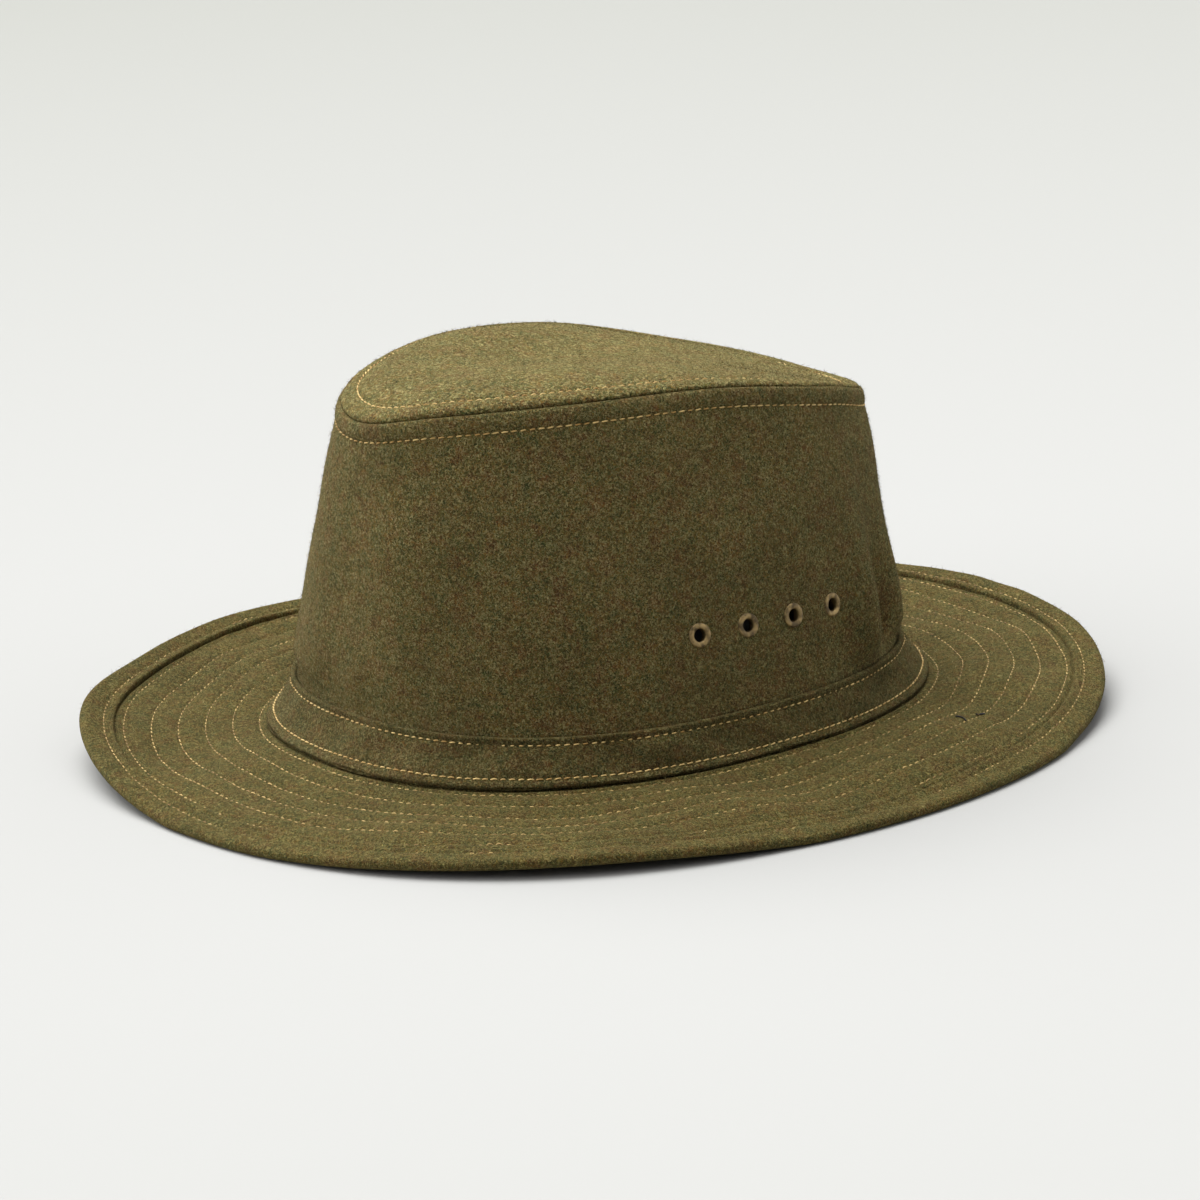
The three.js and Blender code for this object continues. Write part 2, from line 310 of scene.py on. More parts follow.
@dataclass(frozen=True)
class HatForm:
    """The hat's driving sizes in millimetres, and the lines that its cloth follows."""

    head_length: float = 200.0
    head_width: float = 178.0
    head_squareness: float = 2.3
    crown_cloth: float = 2.0
    band_cloth: float = 1.6
    brim_cloth: float = 3.0
    clearance: float = 0.3
    band_height: float = 16.0
    band_spread_ends: float = 11.3
    band_spread_sides: float = 5.5
    band_spread_power: float = 1.5
    crown_height: float = 109.5
    top_length: float = 186.0
    top_width: float = 136.6
    top_squareness: float = 2.2
    top_back_shift: float = 1.4
    top_front_taper: float = 0.24
    wall_fullness: float = 1.9
    brim_width: float = 59.0
    binding_width: float = 10.4
    binding_proud: float = 0.6
    rest_height: float = 9.9
    floor_bend: float = 0.5
    brim_turn_up: float = 0.4
    turn_up_gap: float = 0.02
    seam_form: tuple[SeamRow, ...] = (
        SeamRow(0, 1.016), SeamRow(30, 1.055), SeamRow(60, 1.075), SeamRow(90, 1.07),
        SeamRow(120, 1.0), SeamRow(140, 0.935), SeamRow(160, 0.9), SeamRow(180, 0.895),
        SeamRow(215, 0.937), SeamRow(250, 1.032), SeamRow(280, 1.07), SeamRow(310, 1.055),
        SeamRow(335, 1.03),
    )
    brim_form: tuple[BrimRow, ...] = (
        BrimRow(0, 1.0, -0.05, -0.12), BrimRow(20, 0.98, -0.04, -0.1),
        BrimRow(40, 0.97, -0.02, -0.065), BrimRow(58, 0.98, -0.03, -0.055),
        BrimRow(75, 1.01, -0.04, -0.1), BrimRow(90, 1.03, -0.045, -0.155),
        BrimRow(104, 1.03, 0.01, -0.14), BrimRow(120, 1.03, 0.02, -0.11),
        BrimRow(138, 1.04, 0.05, -0.02), BrimRow(155, 1.03, 0.06, 0.08),
        BrimRow(175, 1.0, 0.05, 0.12), BrimRow(195, 1.0, 0.05, 0.08),
        BrimRow(220, 1.0, 0.03, -0.03), BrimRow(240, 1.0, 0.0, -0.13),
        BrimRow(256, 1.0, 0.0, -0.1), BrimRow(272, 0.99, 0.05, 0.095),
        BrimRow(290, 0.98, 0.08, 0.165), BrimRow(306, 1.0, 0.06, 0.145),
        BrimRow(322, 1.08, 0.0, 0.12), BrimRow(338, 1.05, -0.04, 0.02),
    )
    wall_folds: tuple[Fold, ...] = (
        Fold(152, 0.1, 0.018, 7, 0.3), Fold(110, 0.14, 0.01, 6, 0.3),
        Fold(205, 0.45, 0.016, 22, 0.5), Fold(262, 0.6, 0.018, 30, 0.45),
        Fold(119, 0.14, -0.042, 5, 0.36), Fold(127, 0.1, 0.05, 4.5, 0.3),
        Fold(136, 0.12, -0.03, 4.5, 0.28), Fold(322, 0.1, -0.018, 26, 0.25),
        Fold(8, 0.08, 0.006, 5, 0.09), Fold(0, 0.1, -0.006, 4, 0.1),
        Fold(352, 0.06, 0.007, 5, 0.08),
    )
    fold_foot_fade: float = 12.0
    fold_seam_fade: float = 6.0
    dome: float = 0.07
    front_dome: float = 0.075
    dome_roundness: float = 4.0
    top_ease: float = 1.3
    top_softness: float = 0.2
    top_swells: tuple[TopSwell, ...] = (
        TopSwell(-0.45, 0.45, 0.018, 0.45, 0.5), TopSwell(0.0, 0.75, 0.012, 0.6, 0.4),
        TopSwell(-0.5, -0.2, 0.028, 0.3, 0.3), TopSwell(0.2, 0.2, 0.006, 0.4, 0.4),
    )
    swell_roundness: int = 5
    flat_share: float = 0.45
    curl_start: float = 0.5
    curl_power: float = 1.7

    @property
    def face(self) -> float:
        """Depth of the outer faces under the line that the pieces share."""
        return self.clearance / 2

    @property
    def wall_length(self) -> float:
        """Height of the wall between the band's top and the seam, before its form."""
        return self.crown_height - self.band_height

    @property
    def groove(self) -> float:
        """Place where the bound edge begins."""
        return Place.RIM - self.binding_width / self.brim_width

    def oval(self, angle: Array, length: Array | float, width: Array | float,
             squareness: float) -> tuple[Array, Array]:
        """Gives points of a squarish oval.

        Args:
            angle: Angles round the head.
            length: Half its length.
            width: Half its width.
            squareness: The power of its outline, which is 2 for an ellipse.

        Returns:
            The points' x and y.
        """
        across, along = np.sin(angle), -np.cos(angle)
        reach = (np.abs(across) ** squareness + np.abs(along) ** squareness) ** (-1 / squareness)
        return width * across * reach, length * along * reach

    def outward(self, angle: Array) -> tuple[Array, Array]:
        """Gives the outward direction in plan of the oval of the head opening.

        Args:
            angle: Angles round the head.

        Returns:
            The direction's x and y.
        """
        across, along = np.sin(angle) / self.head_width, -np.cos(angle) / self.head_length
        size = np.hypot(across, along)
        return across / size, along / size

    def band_line(self, angle: Array, share: Array) -> Array:
        """Follows the band.

        Args:
            angle: Angles round the head.
            share: Shares of the way from its top to its foot.

        Returns:
            The points.
        """
        spread = share ** self.band_spread_power
        seat = self.crown_cloth + self.face
        length = self.head_length / 2 + seat + self.band_spread_ends * spread
        width = self.head_width / 2 + seat + self.band_spread_sides * spread
        x, y = self.oval(angle, length, width, self.head_squareness)
        z = self.rest_height + self.band_height * (1 - share)
        return np.stack([x, y, np.broadcast_to(z, x.shape)], -1)

    def seam_line(self, angle: Array) -> Array:
        """Follows the seam round the top.

        Args:
            angle: Angles round the head.

        Returns:
            The points.
        """
        x, y = self.oval(angle, self.top_length / 2, self.top_width / 2, self.top_squareness)
        taper = 1 - self.top_front_taper * np.cos(angle)
        z = self.rest_height + self.crown_height * read_table(self.seam_form, "height", angle)
        return np.stack([x * taper, y + self.top_back_shift, z], -1)

    def fold_depth(self, angle: Array, share: Array) -> Array:
        """Gives how far the wall is pushed in by its dents and folds.

        Args:
            angle: Angles round the head.
            share: Shares of the way from the band's top to the seam.

        Returns:
            The depths.
        """
        depth = np.zeros_like(share)
        for fold in self.wall_folds:
            around = (np.degrees(angle) - fold.angle + 540.0) % 360.0 - 180.0
            depth += (self.crown_height * fold.depth * hump(around, fold.spread)
                      * hump(share - fold.level, fold.reach))
        return (depth * np.clip(share * self.fold_foot_fade, 0, 1)
                * np.clip((1 - share) * self.fold_seam_fade, 0, 1))

    def crown_line(self, angle: Array, share: Array) -> Array:
        """Follows the crown's wall.

        Args:
            angle: Angles round the head.
            share: Shares of the way from the band's top to the seam.

        Returns:
            The points.
        """
        foot = self.band_line(angle, np.zeros_like(share))
        points = foot + (self.seam_line(angle) - foot) * share[..., None]
        swell = self.wall_fullness * np.sin(math.pi * share) - self.fold_depth(angle, share)
        across, along = self.outward(angle)
        points[..., 0] += across * swell
        points[..., 1] += along * swell
        return points

    def top_line(self, angle: Array, share: Array) -> Array:
        """Follows the top panel.

        Args:
            angle: Angles round the head.
            share: Shares of the way from its middle to the seam.

        Returns:
            The points.
        """
        points = self.seam_line(angle)
        points[..., 0] *= share
        points[..., 1] = self.top_back_shift + (points[..., 1] - self.top_back_shift) * share
        middle = self.rest_height + self.crown_height
        soft = self.top_softness
        power = self.top_ease / 2
        ease = (((share ** 2 + soft ** 2) ** power - soft ** self.top_ease)
                / ((1 + soft ** 2) ** power - soft ** self.top_ease))
        saddle = middle + (points[..., 2] - middle) * ease
        fullness = self.dome + self.front_dome * share * np.cos(angle)
        dome = fullness * (1 - share ** self.dome_roundness)
        across = points[..., 0] / (self.top_width / 2)
        along = points[..., 1] / (self.top_length / 2)
        for swell in self.top_swells:
            dome += (swell.height * (1 - share ** self.swell_roundness)
                     * hump(across - swell.across, swell.width)
                     * hump(along - swell.along, swell.length))
        points[..., 2] = saddle + self.crown_height * dome
        return points

    def brim_line(self, angle: Array, share: Array) -> Array:
        """Follows the brim.

        Args:
            angle: Angles round the head.
            share: Shares of the way from the band's foot to the rim.

        Returns:
            The points.
        """
        points = self.band_line(angle, np.ones_like(share))
        reach = self.brim_width * read_table(self.brim_form, "reach", angle) * share
        middle = read_table(self.brim_form, "middle", angle)
        edge = read_table(self.brim_form, "rim", angle)
        curl = np.clip((share - self.curl_start) / (1 - self.curl_start), 0, None)
        rise = self.brim_width * (middle * smooth(share / self.flat_share)
                                  + (edge - middle) * curl ** self.curl_power)
        across, along = self.outward(angle)
        points[..., 0] += across * reach
        points[..., 1] += along * reach
        points[..., 2] = self.settle(self.rest_height + rise)
        return points

    def settle(self, height: Array) -> Array:
        """Lays the brim's upper face flat where its cloth would sink into the floor.

        Args:
            height: The face's heights without a floor.

        Returns:
            Its heights on the floor.
        """
        lying = self.brim_cloth + self.binding_proud + self.face
        above = height - lying
        bend = lying + (above + self.floor_bend) ** 2 / (4 * self.floor_bend)
        return np.where(above > self.floor_bend, height,
                        np.where(above < -self.floor_bend, lying, bend))

    def line(self, angle: Array, place: Array) -> Array:
        """Follows the face that the pieces share, all the way down the hat.

        Args:
            angle: Angles round the head.
            place: Places down the hat.

        Returns:
            The points.
        """
        parts = (
            (place <= Place.TOP_SEAM, self.top_line, place - Place.TOP_MIDDLE),
            ((place > Place.TOP_SEAM) & (place <= Place.BAND_TOP), self.crown_line, -place),
            ((place > Place.BAND_TOP) & (place <= Place.BAND_FOOT), self.band_line, place),
            (place > Place.BAND_FOOT, self.brim_line,
             np.minimum(place, Place.RIM) - Place.BAND_FOOT),
        )
        points = np.zeros((*place.shape, 3))
        for chosen, follow, share in parts:
            if chosen.any():
                points[chosen] = follow(angle[chosen], np.clip(share[chosen], 0, None))
        return points

    def normal(self, angle: Array, place: Array) -> Array:
        """Gives the outward normals of the shared face.

        Args:
            angle: Angles round the head.
            place: Places down the hat.

        Returns:
            The normals, of length 1.
        """
        step, turn = 0.012, 0.01
        along = self.line(angle, place + step) - self.line(angle, place - step)
        around = self.line(angle + turn, place) - self.line(angle - turn, place)
        normal = np.cross(along, around)
        return normal / np.linalg.norm(normal, axis=-1, keepdims=True)

    def layer(self, angle: Array, place: Array, depth: Array,
              meeting: Array | None = None) -> Array:
        """Gives points at a depth of cloth under the shared face.

        Args:
            angle: Angles round the head.
            place: Places down the hat.
            depth: Depths under the face, or heights over it where negative.
            meeting: Places that the directions are taken from, if not from place.

        Returns:
            The points.
        """
        normal = self.normal(angle, place if meeting is None else meeting)
        return self.line(angle, place) - normal * np.asarray(depth)[..., None]


@dataclass(frozen=True)
class Finish:
    """A finish: a node tree that ends in one surface."""

    name: str

    def material(self) -> Material:
        """Builds the finish's material.

        Returns:
            The material.
        """
        made = bpy.data.materials.new(self.name)
        made.use_nodes = True
        tree = made.node_tree
        tree.nodes.clear()
        add_node(tree, "ShaderNodeOutputMaterial", {"Surface": self.surface(tree)})
        return made

    def surface(self, tree: Tree) -> Socket:
        """Adds the nodes of the surface, and gives its shader."""
        raise NotImplementedError


@dataclass(frozen=True)
class MeltonWool(Finish):
    """Melton: heathered wool, fulled and napped, so it is matte with a pale bloom.

    Each speck of the ground has one dye of the blend, curly fibres lie over it, and the
    hue drifts in blotches as the wool was carded.
    """

    blend: tuple[Dye, ...] = (
        Dye(0.0, "#121009"), Dye(0.24, "#4a4e2a"), Dye(0.38, "#6e6434"), Dye(0.55, "#60452a"),
        Dye(0.68, "#8e6e34"), Dye(0.78, "#b8ac74"), Dye(0.88, "#2a2818"),
    )
    strands: tuple[Strand, ...] = (
        Strand(1.1, "#100e0a", 0.7), Strand(1.0, "#566232", 0.55), Strand(1.3, "#8e6234", 0.6),
        Strand(1.4, "#bcb07c", 0.62), Strand(0.8, "#1a180e", 0.65),
    )
    strand_shift: tuple[float, float, float] = (31.0, 17.0, 47.0)
    strand_curl: float = 0.9
    strand_core: float = 0.012
    strand_edge: float = 0.055
    strand_rise: float = 0.5
    hues: tuple[Dye, ...] = (Dye(0.36, "#46562a"), Dye(0.5, "#665d2a"), Dye(0.64, "#704a24"))
    bloom: str = "#d2c684"
    speck: float = 0.5
    blotch: float = 5.5
    drift: float = 30.0
    drift_depth: float = 0.12
    drift_edges: tuple[float, float] = (0.3, 0.7)
    fuzz: float = 1 / 1.8
    bump: float = 0.5
    # Brightness and tint of the wool; the top, band and brim get their own values as painted light
    # and shade.
    shade: float = 0.96
    tint: tuple[float, float, float] = (1.0, 0.97, 0.96)
    sheen: float = 0.23
    coarse: float = 1.0
    soften: float = 0.3

    def surface(self, tree: Tree) -> Socket:
        """Adds the wool's nodes, on Object coordinates in millimetres.

        Args:
            tree: The material's tree.

        Returns:
            The shader.
        """
        metres = add_node(tree, "ShaderNodeTexCoord").outputs["Object"]
        place = add_node(tree, "ShaderNodeVectorMath", {
            0: metres, 1: (1 / (self.coarse * MM),) * 3}, operation="MULTIPLY").outputs[0]
        cells = add_node(tree, "ShaderNodeTexVoronoi", {
            "Vector": place, "Scale": 1 / self.speck}).outputs["Color"]
        tone = add_node(tree, "ShaderNodeSeparateColor", {0: cells}).outputs[0]
        ground = self.ramp(tree, tone, self.blend, Blend.STEPPED)
        fibres, height = self.strand_layers(tree, place, ground, tone)
        blotches, drift, fuzz = [
            add_node(tree, "ShaderNodeTexNoise", {
                "Vector": place, "Scale": 1 / size, "Detail": detail,
                "Roughness": 0.6}).outputs["Fac"]
            for size, detail in ((self.blotch, 3.0), (self.drift, 2.0), (self.fuzz, 3.0))]
        hue = self.ramp(tree, blotches, self.hues, Blend.SMOOTH)
        soft = add_node(tree, "ShaderNodeMix", {
            0: self.soften, 6: fibres, 7: hue}, data_type="RGBA").outputs[2]
        tinted = add_node(tree, "ShaderNodeVectorMath", {0: soft, 1: self.tint},
                          operation="MULTIPLY").outputs[0]
        darkest = (1 - self.drift_depth) * self.shade
        palest = (1 + self.drift_depth) * self.shade
        level = add_node(tree, "ShaderNodeMapRange", {
            0: drift, 1: self.drift_edges[0], 2: self.drift_edges[1],
            3: darkest, 4: palest}).outputs[0]
        shaded = add_node(tree, "ShaderNodeVectorMath", {0: tinted, 1: level},
                          operation="MULTIPLY").outputs[0]
        rough = add_node(tree, "ShaderNodeMath", {
            0: height, 1: self.strand_rise, 2: fuzz}, operation="MULTIPLY_ADD").outputs[0]
        raised = add_node(tree, "ShaderNodeBump", {
            "Strength": 1.0, "Distance": self.bump * MM, "Height": rough}).outputs[0]
        return add_node(tree, "ShaderNodeBsdfPrincipled", {
            "Base Color": shaded, "Roughness": 0.95, "Specular IOR Level": 0.15,
            "Sheen Weight": self.sheen, "Sheen Roughness": 0.4,
            "Sheen Tint": linear(self.bloom), "Normal": raised}).outputs[0]

    def strand_layers(self, tree: Tree, place: Socket, ground: Socket,
                      tone: Socket) -> tuple[Socket, Socket]:
        """Draws the curly fibres of each set over the ground, as lines of a noise.

        Args:
            tree: The material's tree.
            place: Coordinates in millimetres.
            ground: Colour under the fibres.
            tone: A value for each speck, which gives the ground its height.

        Returns:
            The colour with all fibres drawn, and their height.
        """
        height = tone
        for index, strand in enumerate(self.strands):
            moved = add_node(tree, "ShaderNodeVectorMath", {
                0: place, 1: tuple(index * shift for shift in self.strand_shift)}).outputs[0]
            swirl = add_node(tree, "ShaderNodeTexNoise", {
                "Vector": moved, "Scale": 1 / strand.spacing, "Detail": 1.0,
                "Roughness": 0.5, "Distortion": self.strand_curl}).outputs["Fac"]
            offset = add_node(tree, "ShaderNodeMath", {0: swirl, 1: 0.5},
                              operation="SUBTRACT").outputs[0]
            size = add_node(tree, "ShaderNodeMath", {0: offset},
                            operation="ABSOLUTE").outputs[0]
            line = add_node(tree, "ShaderNodeMapRange", {
                0: size, 1: self.strand_core, 2: self.strand_edge,
                3: strand.cover, 4: 0.0}).outputs[0]
            ground = add_node(tree, "ShaderNodeMix", {
                0: line, 6: ground, 7: linear(strand.colour)}, data_type="RGBA").outputs[2]
            height = add_node(tree, "ShaderNodeMath", {0: height, 1: line}).outputs[0]
        return ground, height

    def ramp(self, tree: Tree, value: Socket, stops: tuple[Dye, ...], blend: Blend) -> Socket:
        """Turns a value to the colour of its stop.

        Args:
            tree: The material's tree.
            value: The value, from 0 to 1.
            stops: The ramp's colours.
            blend: How the ramp goes from stop to stop.

        Returns:
            The colour's socket.
        """
        node = add_node(tree, "ShaderNodeValToRGB", {0: value})
        node.color_ramp.interpolation = blend.value
        elements = node.color_ramp.elements
        while len(elements) < len(stops):
            elements.new(0.5)
        for element, stop in zip(elements, stops):
            element.position = stop.start
            element.color = linear(stop.colour)
        return node.outputs["Color"]


@dataclass(frozen=True)
class NapFibre(MeltonWool):
    """Loose ends of the same wool, each fibre in one dye, so the nap looks heathered."""

    def surface(self, tree: Tree) -> Socket:
        """Adds the fibres' nodes, on their tone attribute.

        Args:
            tree: The material's tree.

        Returns:
            The shader.
        """
        tone = add_node(tree, "ShaderNodeAttribute", attribute_name="tone").outputs["Fac"]
        return add_node(tree, "ShaderNodeBsdfPrincipled", {
            "Base Color": self.ramp(tree, tone, self.blend, Blend.STEPPED), "Roughness": 0.9,
            "Specular IOR Level": 0.2}).outputs[0]


@dataclass(frozen=True)
class SewingThread(Finish):
    """Spun polyester topstitching thread: tan, slightly glossy, each stitch its own shade."""

    pale: str = "#dcbe7c"
    deep: str = "#a58044"

    def surface(self, tree: Tree) -> Socket:
        """Adds the thread's nodes, on its tone attribute.

        Args:
            tree: The material's tree.

        Returns:
            The shader.
        """
        tone = add_node(tree, "ShaderNodeAttribute", attribute_name="tone").outputs["Fac"]
        colour = add_node(tree, "ShaderNodeMix", {
            0: tone, 6: linear(self.deep), 7: linear(self.pale)}, data_type="RGBA").outputs[2]
        return add_node(tree, "ShaderNodeBsdfPrincipled", {
            "Base Color": colour, "Roughness": 0.55, "Specular IOR Level": 0.3}).outputs[0]


@dataclass(frozen=True)
class AntiqueBrass(Finish):
    """Brass, blackened and rubbed back: dull bronze with darker tarnish in patches."""

    rubbed: str = "#a0885a"
    tarnish: str = "#54452c"
    patch: float = 2.4
    colour_edges: tuple[float, float] = (0.38, 0.62)
    gloss_edges: tuple[float, float] = (0.3, 0.7)
    tarnish_roughness: float = 0.55
    rubbed_roughness: float = 0.36

    def surface(self, tree: Tree) -> Socket:
        """Adds the metal's nodes, on Object coordinates.

        Args:
            tree: The material's tree.

        Returns:
            The shader.
        """
        place = add_node(tree, "ShaderNodeTexCoord").outputs["Object"]
        patches = add_node(tree, "ShaderNodeTexNoise", {
            "Vector": place, "Scale": 1 / (self.patch * MM), "Detail": 3.0}).outputs["Fac"]
        mask = add_node(tree, "ShaderNodeMapRange", {
            0: patches, 1: self.colour_edges[0], 2: self.colour_edges[1]}).outputs[0]
        colour = add_node(tree, "ShaderNodeMix", {
            0: mask, 6: linear(self.tarnish), 7: linear(self.rubbed)},
            data_type="RGBA").outputs[2]
        rough = add_node(tree, "ShaderNodeMapRange", {
            0: patches, 1: self.gloss_edges[0], 2: self.gloss_edges[1],
            3: self.tarnish_roughness, 4: self.rubbed_roughness}).outputs[0]
        return add_node(tree, "ShaderNodeBsdfPrincipled", {
            "Base Color": colour, "Metallic": 0.6, "Roughness": rough}).outputs[0]


@dataclass(frozen=True)
class MattePaper(Finish):
    """Background paper: matte and pale, and a little darker far from the hat, which is painted
    shade for light that falls off there.
    """

    near: str = "#a5a5a3"
    # The far colour is painted shade, where less light reaches the paper.
    far: str = "#92938d"
    painted_falloff_from: float = 0.3
    painted_falloff_to: float = 2.6

    def surface(self, tree: Tree) -> Socket:
        """Adds the paper's nodes, on Object coordinates.

        Args:
            tree: The material's tree.

        Returns:
            The shader.
        """
        place = add_node(tree, "ShaderNodeTexCoord").outputs["Object"]
        away = add_node(tree, "ShaderNodeVectorMath", {0: place},
                        operation="LENGTH").outputs["Value"]
        painted_falloff = add_node(tree, "ShaderNodeMapRange", {
            0: away, 1: self.painted_falloff_from, 2: self.painted_falloff_to}).outputs[0]
        # Painted shade: the paper goes from the near colour to the far colour away from the hat.
        colour = add_node(tree, "ShaderNodeMix", {
            0: painted_falloff, 6: linear(self.near), 7: linear(self.far)}, data_type="RGBA").outputs[2]
        return add_node(tree, "ShaderNodeBsdfPrincipled", {
            "Base Color": colour, "Roughness": 0.9, "Specular IOR Level": 0.1}).outputs[0]


def plain_mesh(name: str, points: Array, faces: list) -> Mesh:
    """Builds a mesh.

    Args:
        name: Its name.
        points: Its points in millimetres.
        faces: The corners of each face.

    Returns:
        The mesh, in metres.
    """
    mesh = bpy.data.meshes.new(name)
    mesh.from_pydata((points * MM).tolist(), [], faces)
    mesh.update()
    return mesh


def finish_piece(name: str, mesh: Mesh, material: Material) -> Piece:
    """Makes a piece of a mesh, smooth and dressed, and lets it ride on the hat.

    Args:
        name: The piece's name.
        mesh: Its mesh, in metres.
        material: Its finish.

    Returns:
        The piece's object.
    """
    mesh.name = name
    if not mesh.materials:
        mesh.materials.append(material)
    mesh.shade_smooth()
    piece = bpy.data.objects.new(name, mesh)
    bpy.context.scene.collection.objects.link(piece)
    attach(piece, ROOT)
    log.info("%s: %d faces", name, len(mesh.polygons))
    return piece


@dataclass
class ClothShell:
    """Closed wall of cloth between an outer and an inner grid of points round the head.

    Attributes:
        outer: Points of the outer face by row, column and axis, in millimetres.
        inner: Points of the inner face, in the same order.
        holes: Cells that are left open, by row and column.
        pole: The outer and inner points that close the first row, if it is a panel.
        face_map: Share of the UV map's height that each face gets.
        pole_map: Height in the UV map of the inner face's pole.
    """

    outer: Array
    inner: Array
    holes: Array | None = None
    pole: tuple[Array, Array] | None = None
    face_map: float = 0.49
    pole_map: float = 0.99

    def mesh(self, name: str) -> Mesh:
        """Builds the mesh, with a UV map that unrolls each face.

        Args:
            name: The mesh's name.

        Returns:
            The mesh, whose outer faces are marked as napped.
        """
        rows, columns = self.outer.shape[:2]
        here = np.arange(rows * columns).reshape(rows, columns)
        beside = np.roll(here, -1, axis=1)
        kept = np.ones((rows - 1, columns), bool)
        if self.holes is not None:
            kept &= ~self.holes
        cells = np.stack([here[:-1], here[1:], beside[1:], beside[:-1]], -1)[kept]
        row, column = np.nonzero(kept)
        down = self.face_map * np.stack([row, row + 1, row + 1, row], -1) / (rows - 1)
        around = np.stack([column, column, column + 1, column + 1], -1) / columns
        inside = rows * columns
        walls, wall_maps = self.walls(kept, here, beside, inside)
        quads = np.concatenate([cells, cells[:, ::-1] + inside, walls])
        layout = np.concatenate([np.stack([around, down], -1),
                                 np.stack([around, 1 - down], -1)[:, ::-1], wall_maps])
        points = np.concatenate([self.outer.reshape(-1, 3), self.inner.reshape(-1, 3)])
        triangles = np.zeros((0, 3), int)
        if self.pole is not None:
            points = np.concatenate([points, np.array(self.pole)])
            upper = np.full(columns, 2 * inside)
            triangles = np.concatenate([
                np.stack([upper, here[0], beside[0]], -1),
                np.stack([upper + 1, beside[0] + inside, here[0] + inside], -1)])
        used = np.unique(np.concatenate([quads.ravel(), triangles.ravel()]))
        number = np.zeros(len(points), int)
        number[used] = np.arange(len(used))
        mesh = plain_mesh(name, points[used],
                          number[quads].tolist() + number[triangles].tolist())
        turn = np.zeros((len(triangles) * 3, 2))
        turn[:, 0] = np.repeat(np.arange(len(triangles)) % columns, 3) / columns
        turn[:, 1] = np.repeat(np.arange(len(triangles)) // columns, 3) * self.pole_map
        uv = mesh.uv_layers.new(name="cloth")
        uv.data.foreach_set("uv", np.concatenate([layout.reshape(-1, 2), turn]).ravel())
        napped = np.zeros(len(mesh.polygons), bool)
        napped[:len(cells)] = True
        mesh.attributes.new("napped", "BOOLEAN", "FACE").data.foreach_set("value", napped)
        mesh.update()
        return mesh

    def walls(self, kept: Array, here: Array, beside: Array,
              inside: int) -> tuple[Array, Array]:
        """Closes the shell along every open edge of its outer face.

        Args:
            kept: The cells that are there.
            here: Number of each outer point.
            beside: Number of the point one column on.
            inside: What is added for the inner point's number.

        Returns:
            The walls' corners, and their places in the UV map.
        """
        gone = ~kept
        above = np.vstack([gone[:1] if self.pole is not None else np.ones_like(gone[:1]),
                           gone[:-1]])
        below = np.vstack([gone[1:], np.ones_like(gone[:1])])
        sides = (
            (kept & np.roll(gone, 1, axis=1), here[:-1], here[1:]),
            (kept & below, here[1:], beside[1:]),
            (kept & np.roll(gone, -1, axis=1), beside[1:], beside[:-1]),
            (kept & above, beside[:-1], here[:-1]),
        )
        quads, maps = [], []
        for chosen, start, end in sides:
            a, b = start[chosen], end[chosen]
            quads.append(np.stack([b, a, a + inside, b + inside], -1))
            row, column = np.nonzero(chosen)
            down = self.face_map * row / kept.shape[0]
            spot = np.stack([column / kept.shape[1], down], -1)
            maps.append(np.repeat(spot[:, None, :], 4, axis=1))
        return np.concatenate(quads), np.concatenate(maps)


@dataclass
class StitchRow:
    """One row of topstitching: a closed path on the cloth.

    Attributes:
        points: Points of the path, in millimetres.
        normals: The cloth's outward normals there.
        sink: How far the stitches lie sunk in the nap.
    """

    points: Array
    normals: Array
    sink: Array


@dataclass
class ClothPiece:
    """What the hat's cloth pieces share: the hat's form, columns and how a face is read."""

    form: HatForm
    wool: Material
    columns: int = 480
    stitch_dip: float = 0.4
    stitch_width: float = 0.9
    sink_patches: SoftWaves = SoftWaves(41, 24.0)
    sink_change: float = 0.7

    def angles(self) -> Array:
        """Gives the angle of each column."""
        return np.arange(self.columns) * TAU / self.columns

    def grid(self, places: Array) -> tuple[Array, Array]:
        """Gives the angle and the place of each point of a grid."""
        return tuple(np.broadcast_arrays(self.angles()[None, :], places[:, None]))

    def relief(self, angle: Array, place: Array) -> Array:
        """Gives how far the outer face stands over its plain line."""
        raise NotImplementedError

    def outer(self, angle: Array, place: Array) -> Array:
        """Gives points of the finished outer face."""
        return self.form.layer(angle, place, self.form.face - self.relief(angle, place))

    def row(self, places: Array, sink: Array | float = 0.0) -> StitchRow:
        """Gives a row of stitching that runs along these places.

        Args:
            places: A place for each column.
            sink: How far the stitches lie sunk in the nap.

        Returns:
            The row, on the finished outer face.
        """
        angle = self.angles()
        points = self.outer(angle, places)
        return StitchRow(points, self.form.normal(angle, places),
                         sink * (1 + self.sink_change * self.sink_patches.at(points)))

    def cover(self, node: str, shell: ClothShell, slot: str) -> Piece:
        """Dresses a shell in the wool and lets it stand for a solid.

        Args:
            node: The solid's node.
            shell: The shell.
            slot: The record's slot of the wool; not used.

        Returns:
            The piece.
        """
        name = f"{node}_cloth"
        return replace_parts(finish_piece(name, shell.mesh(name), self.wool), node)


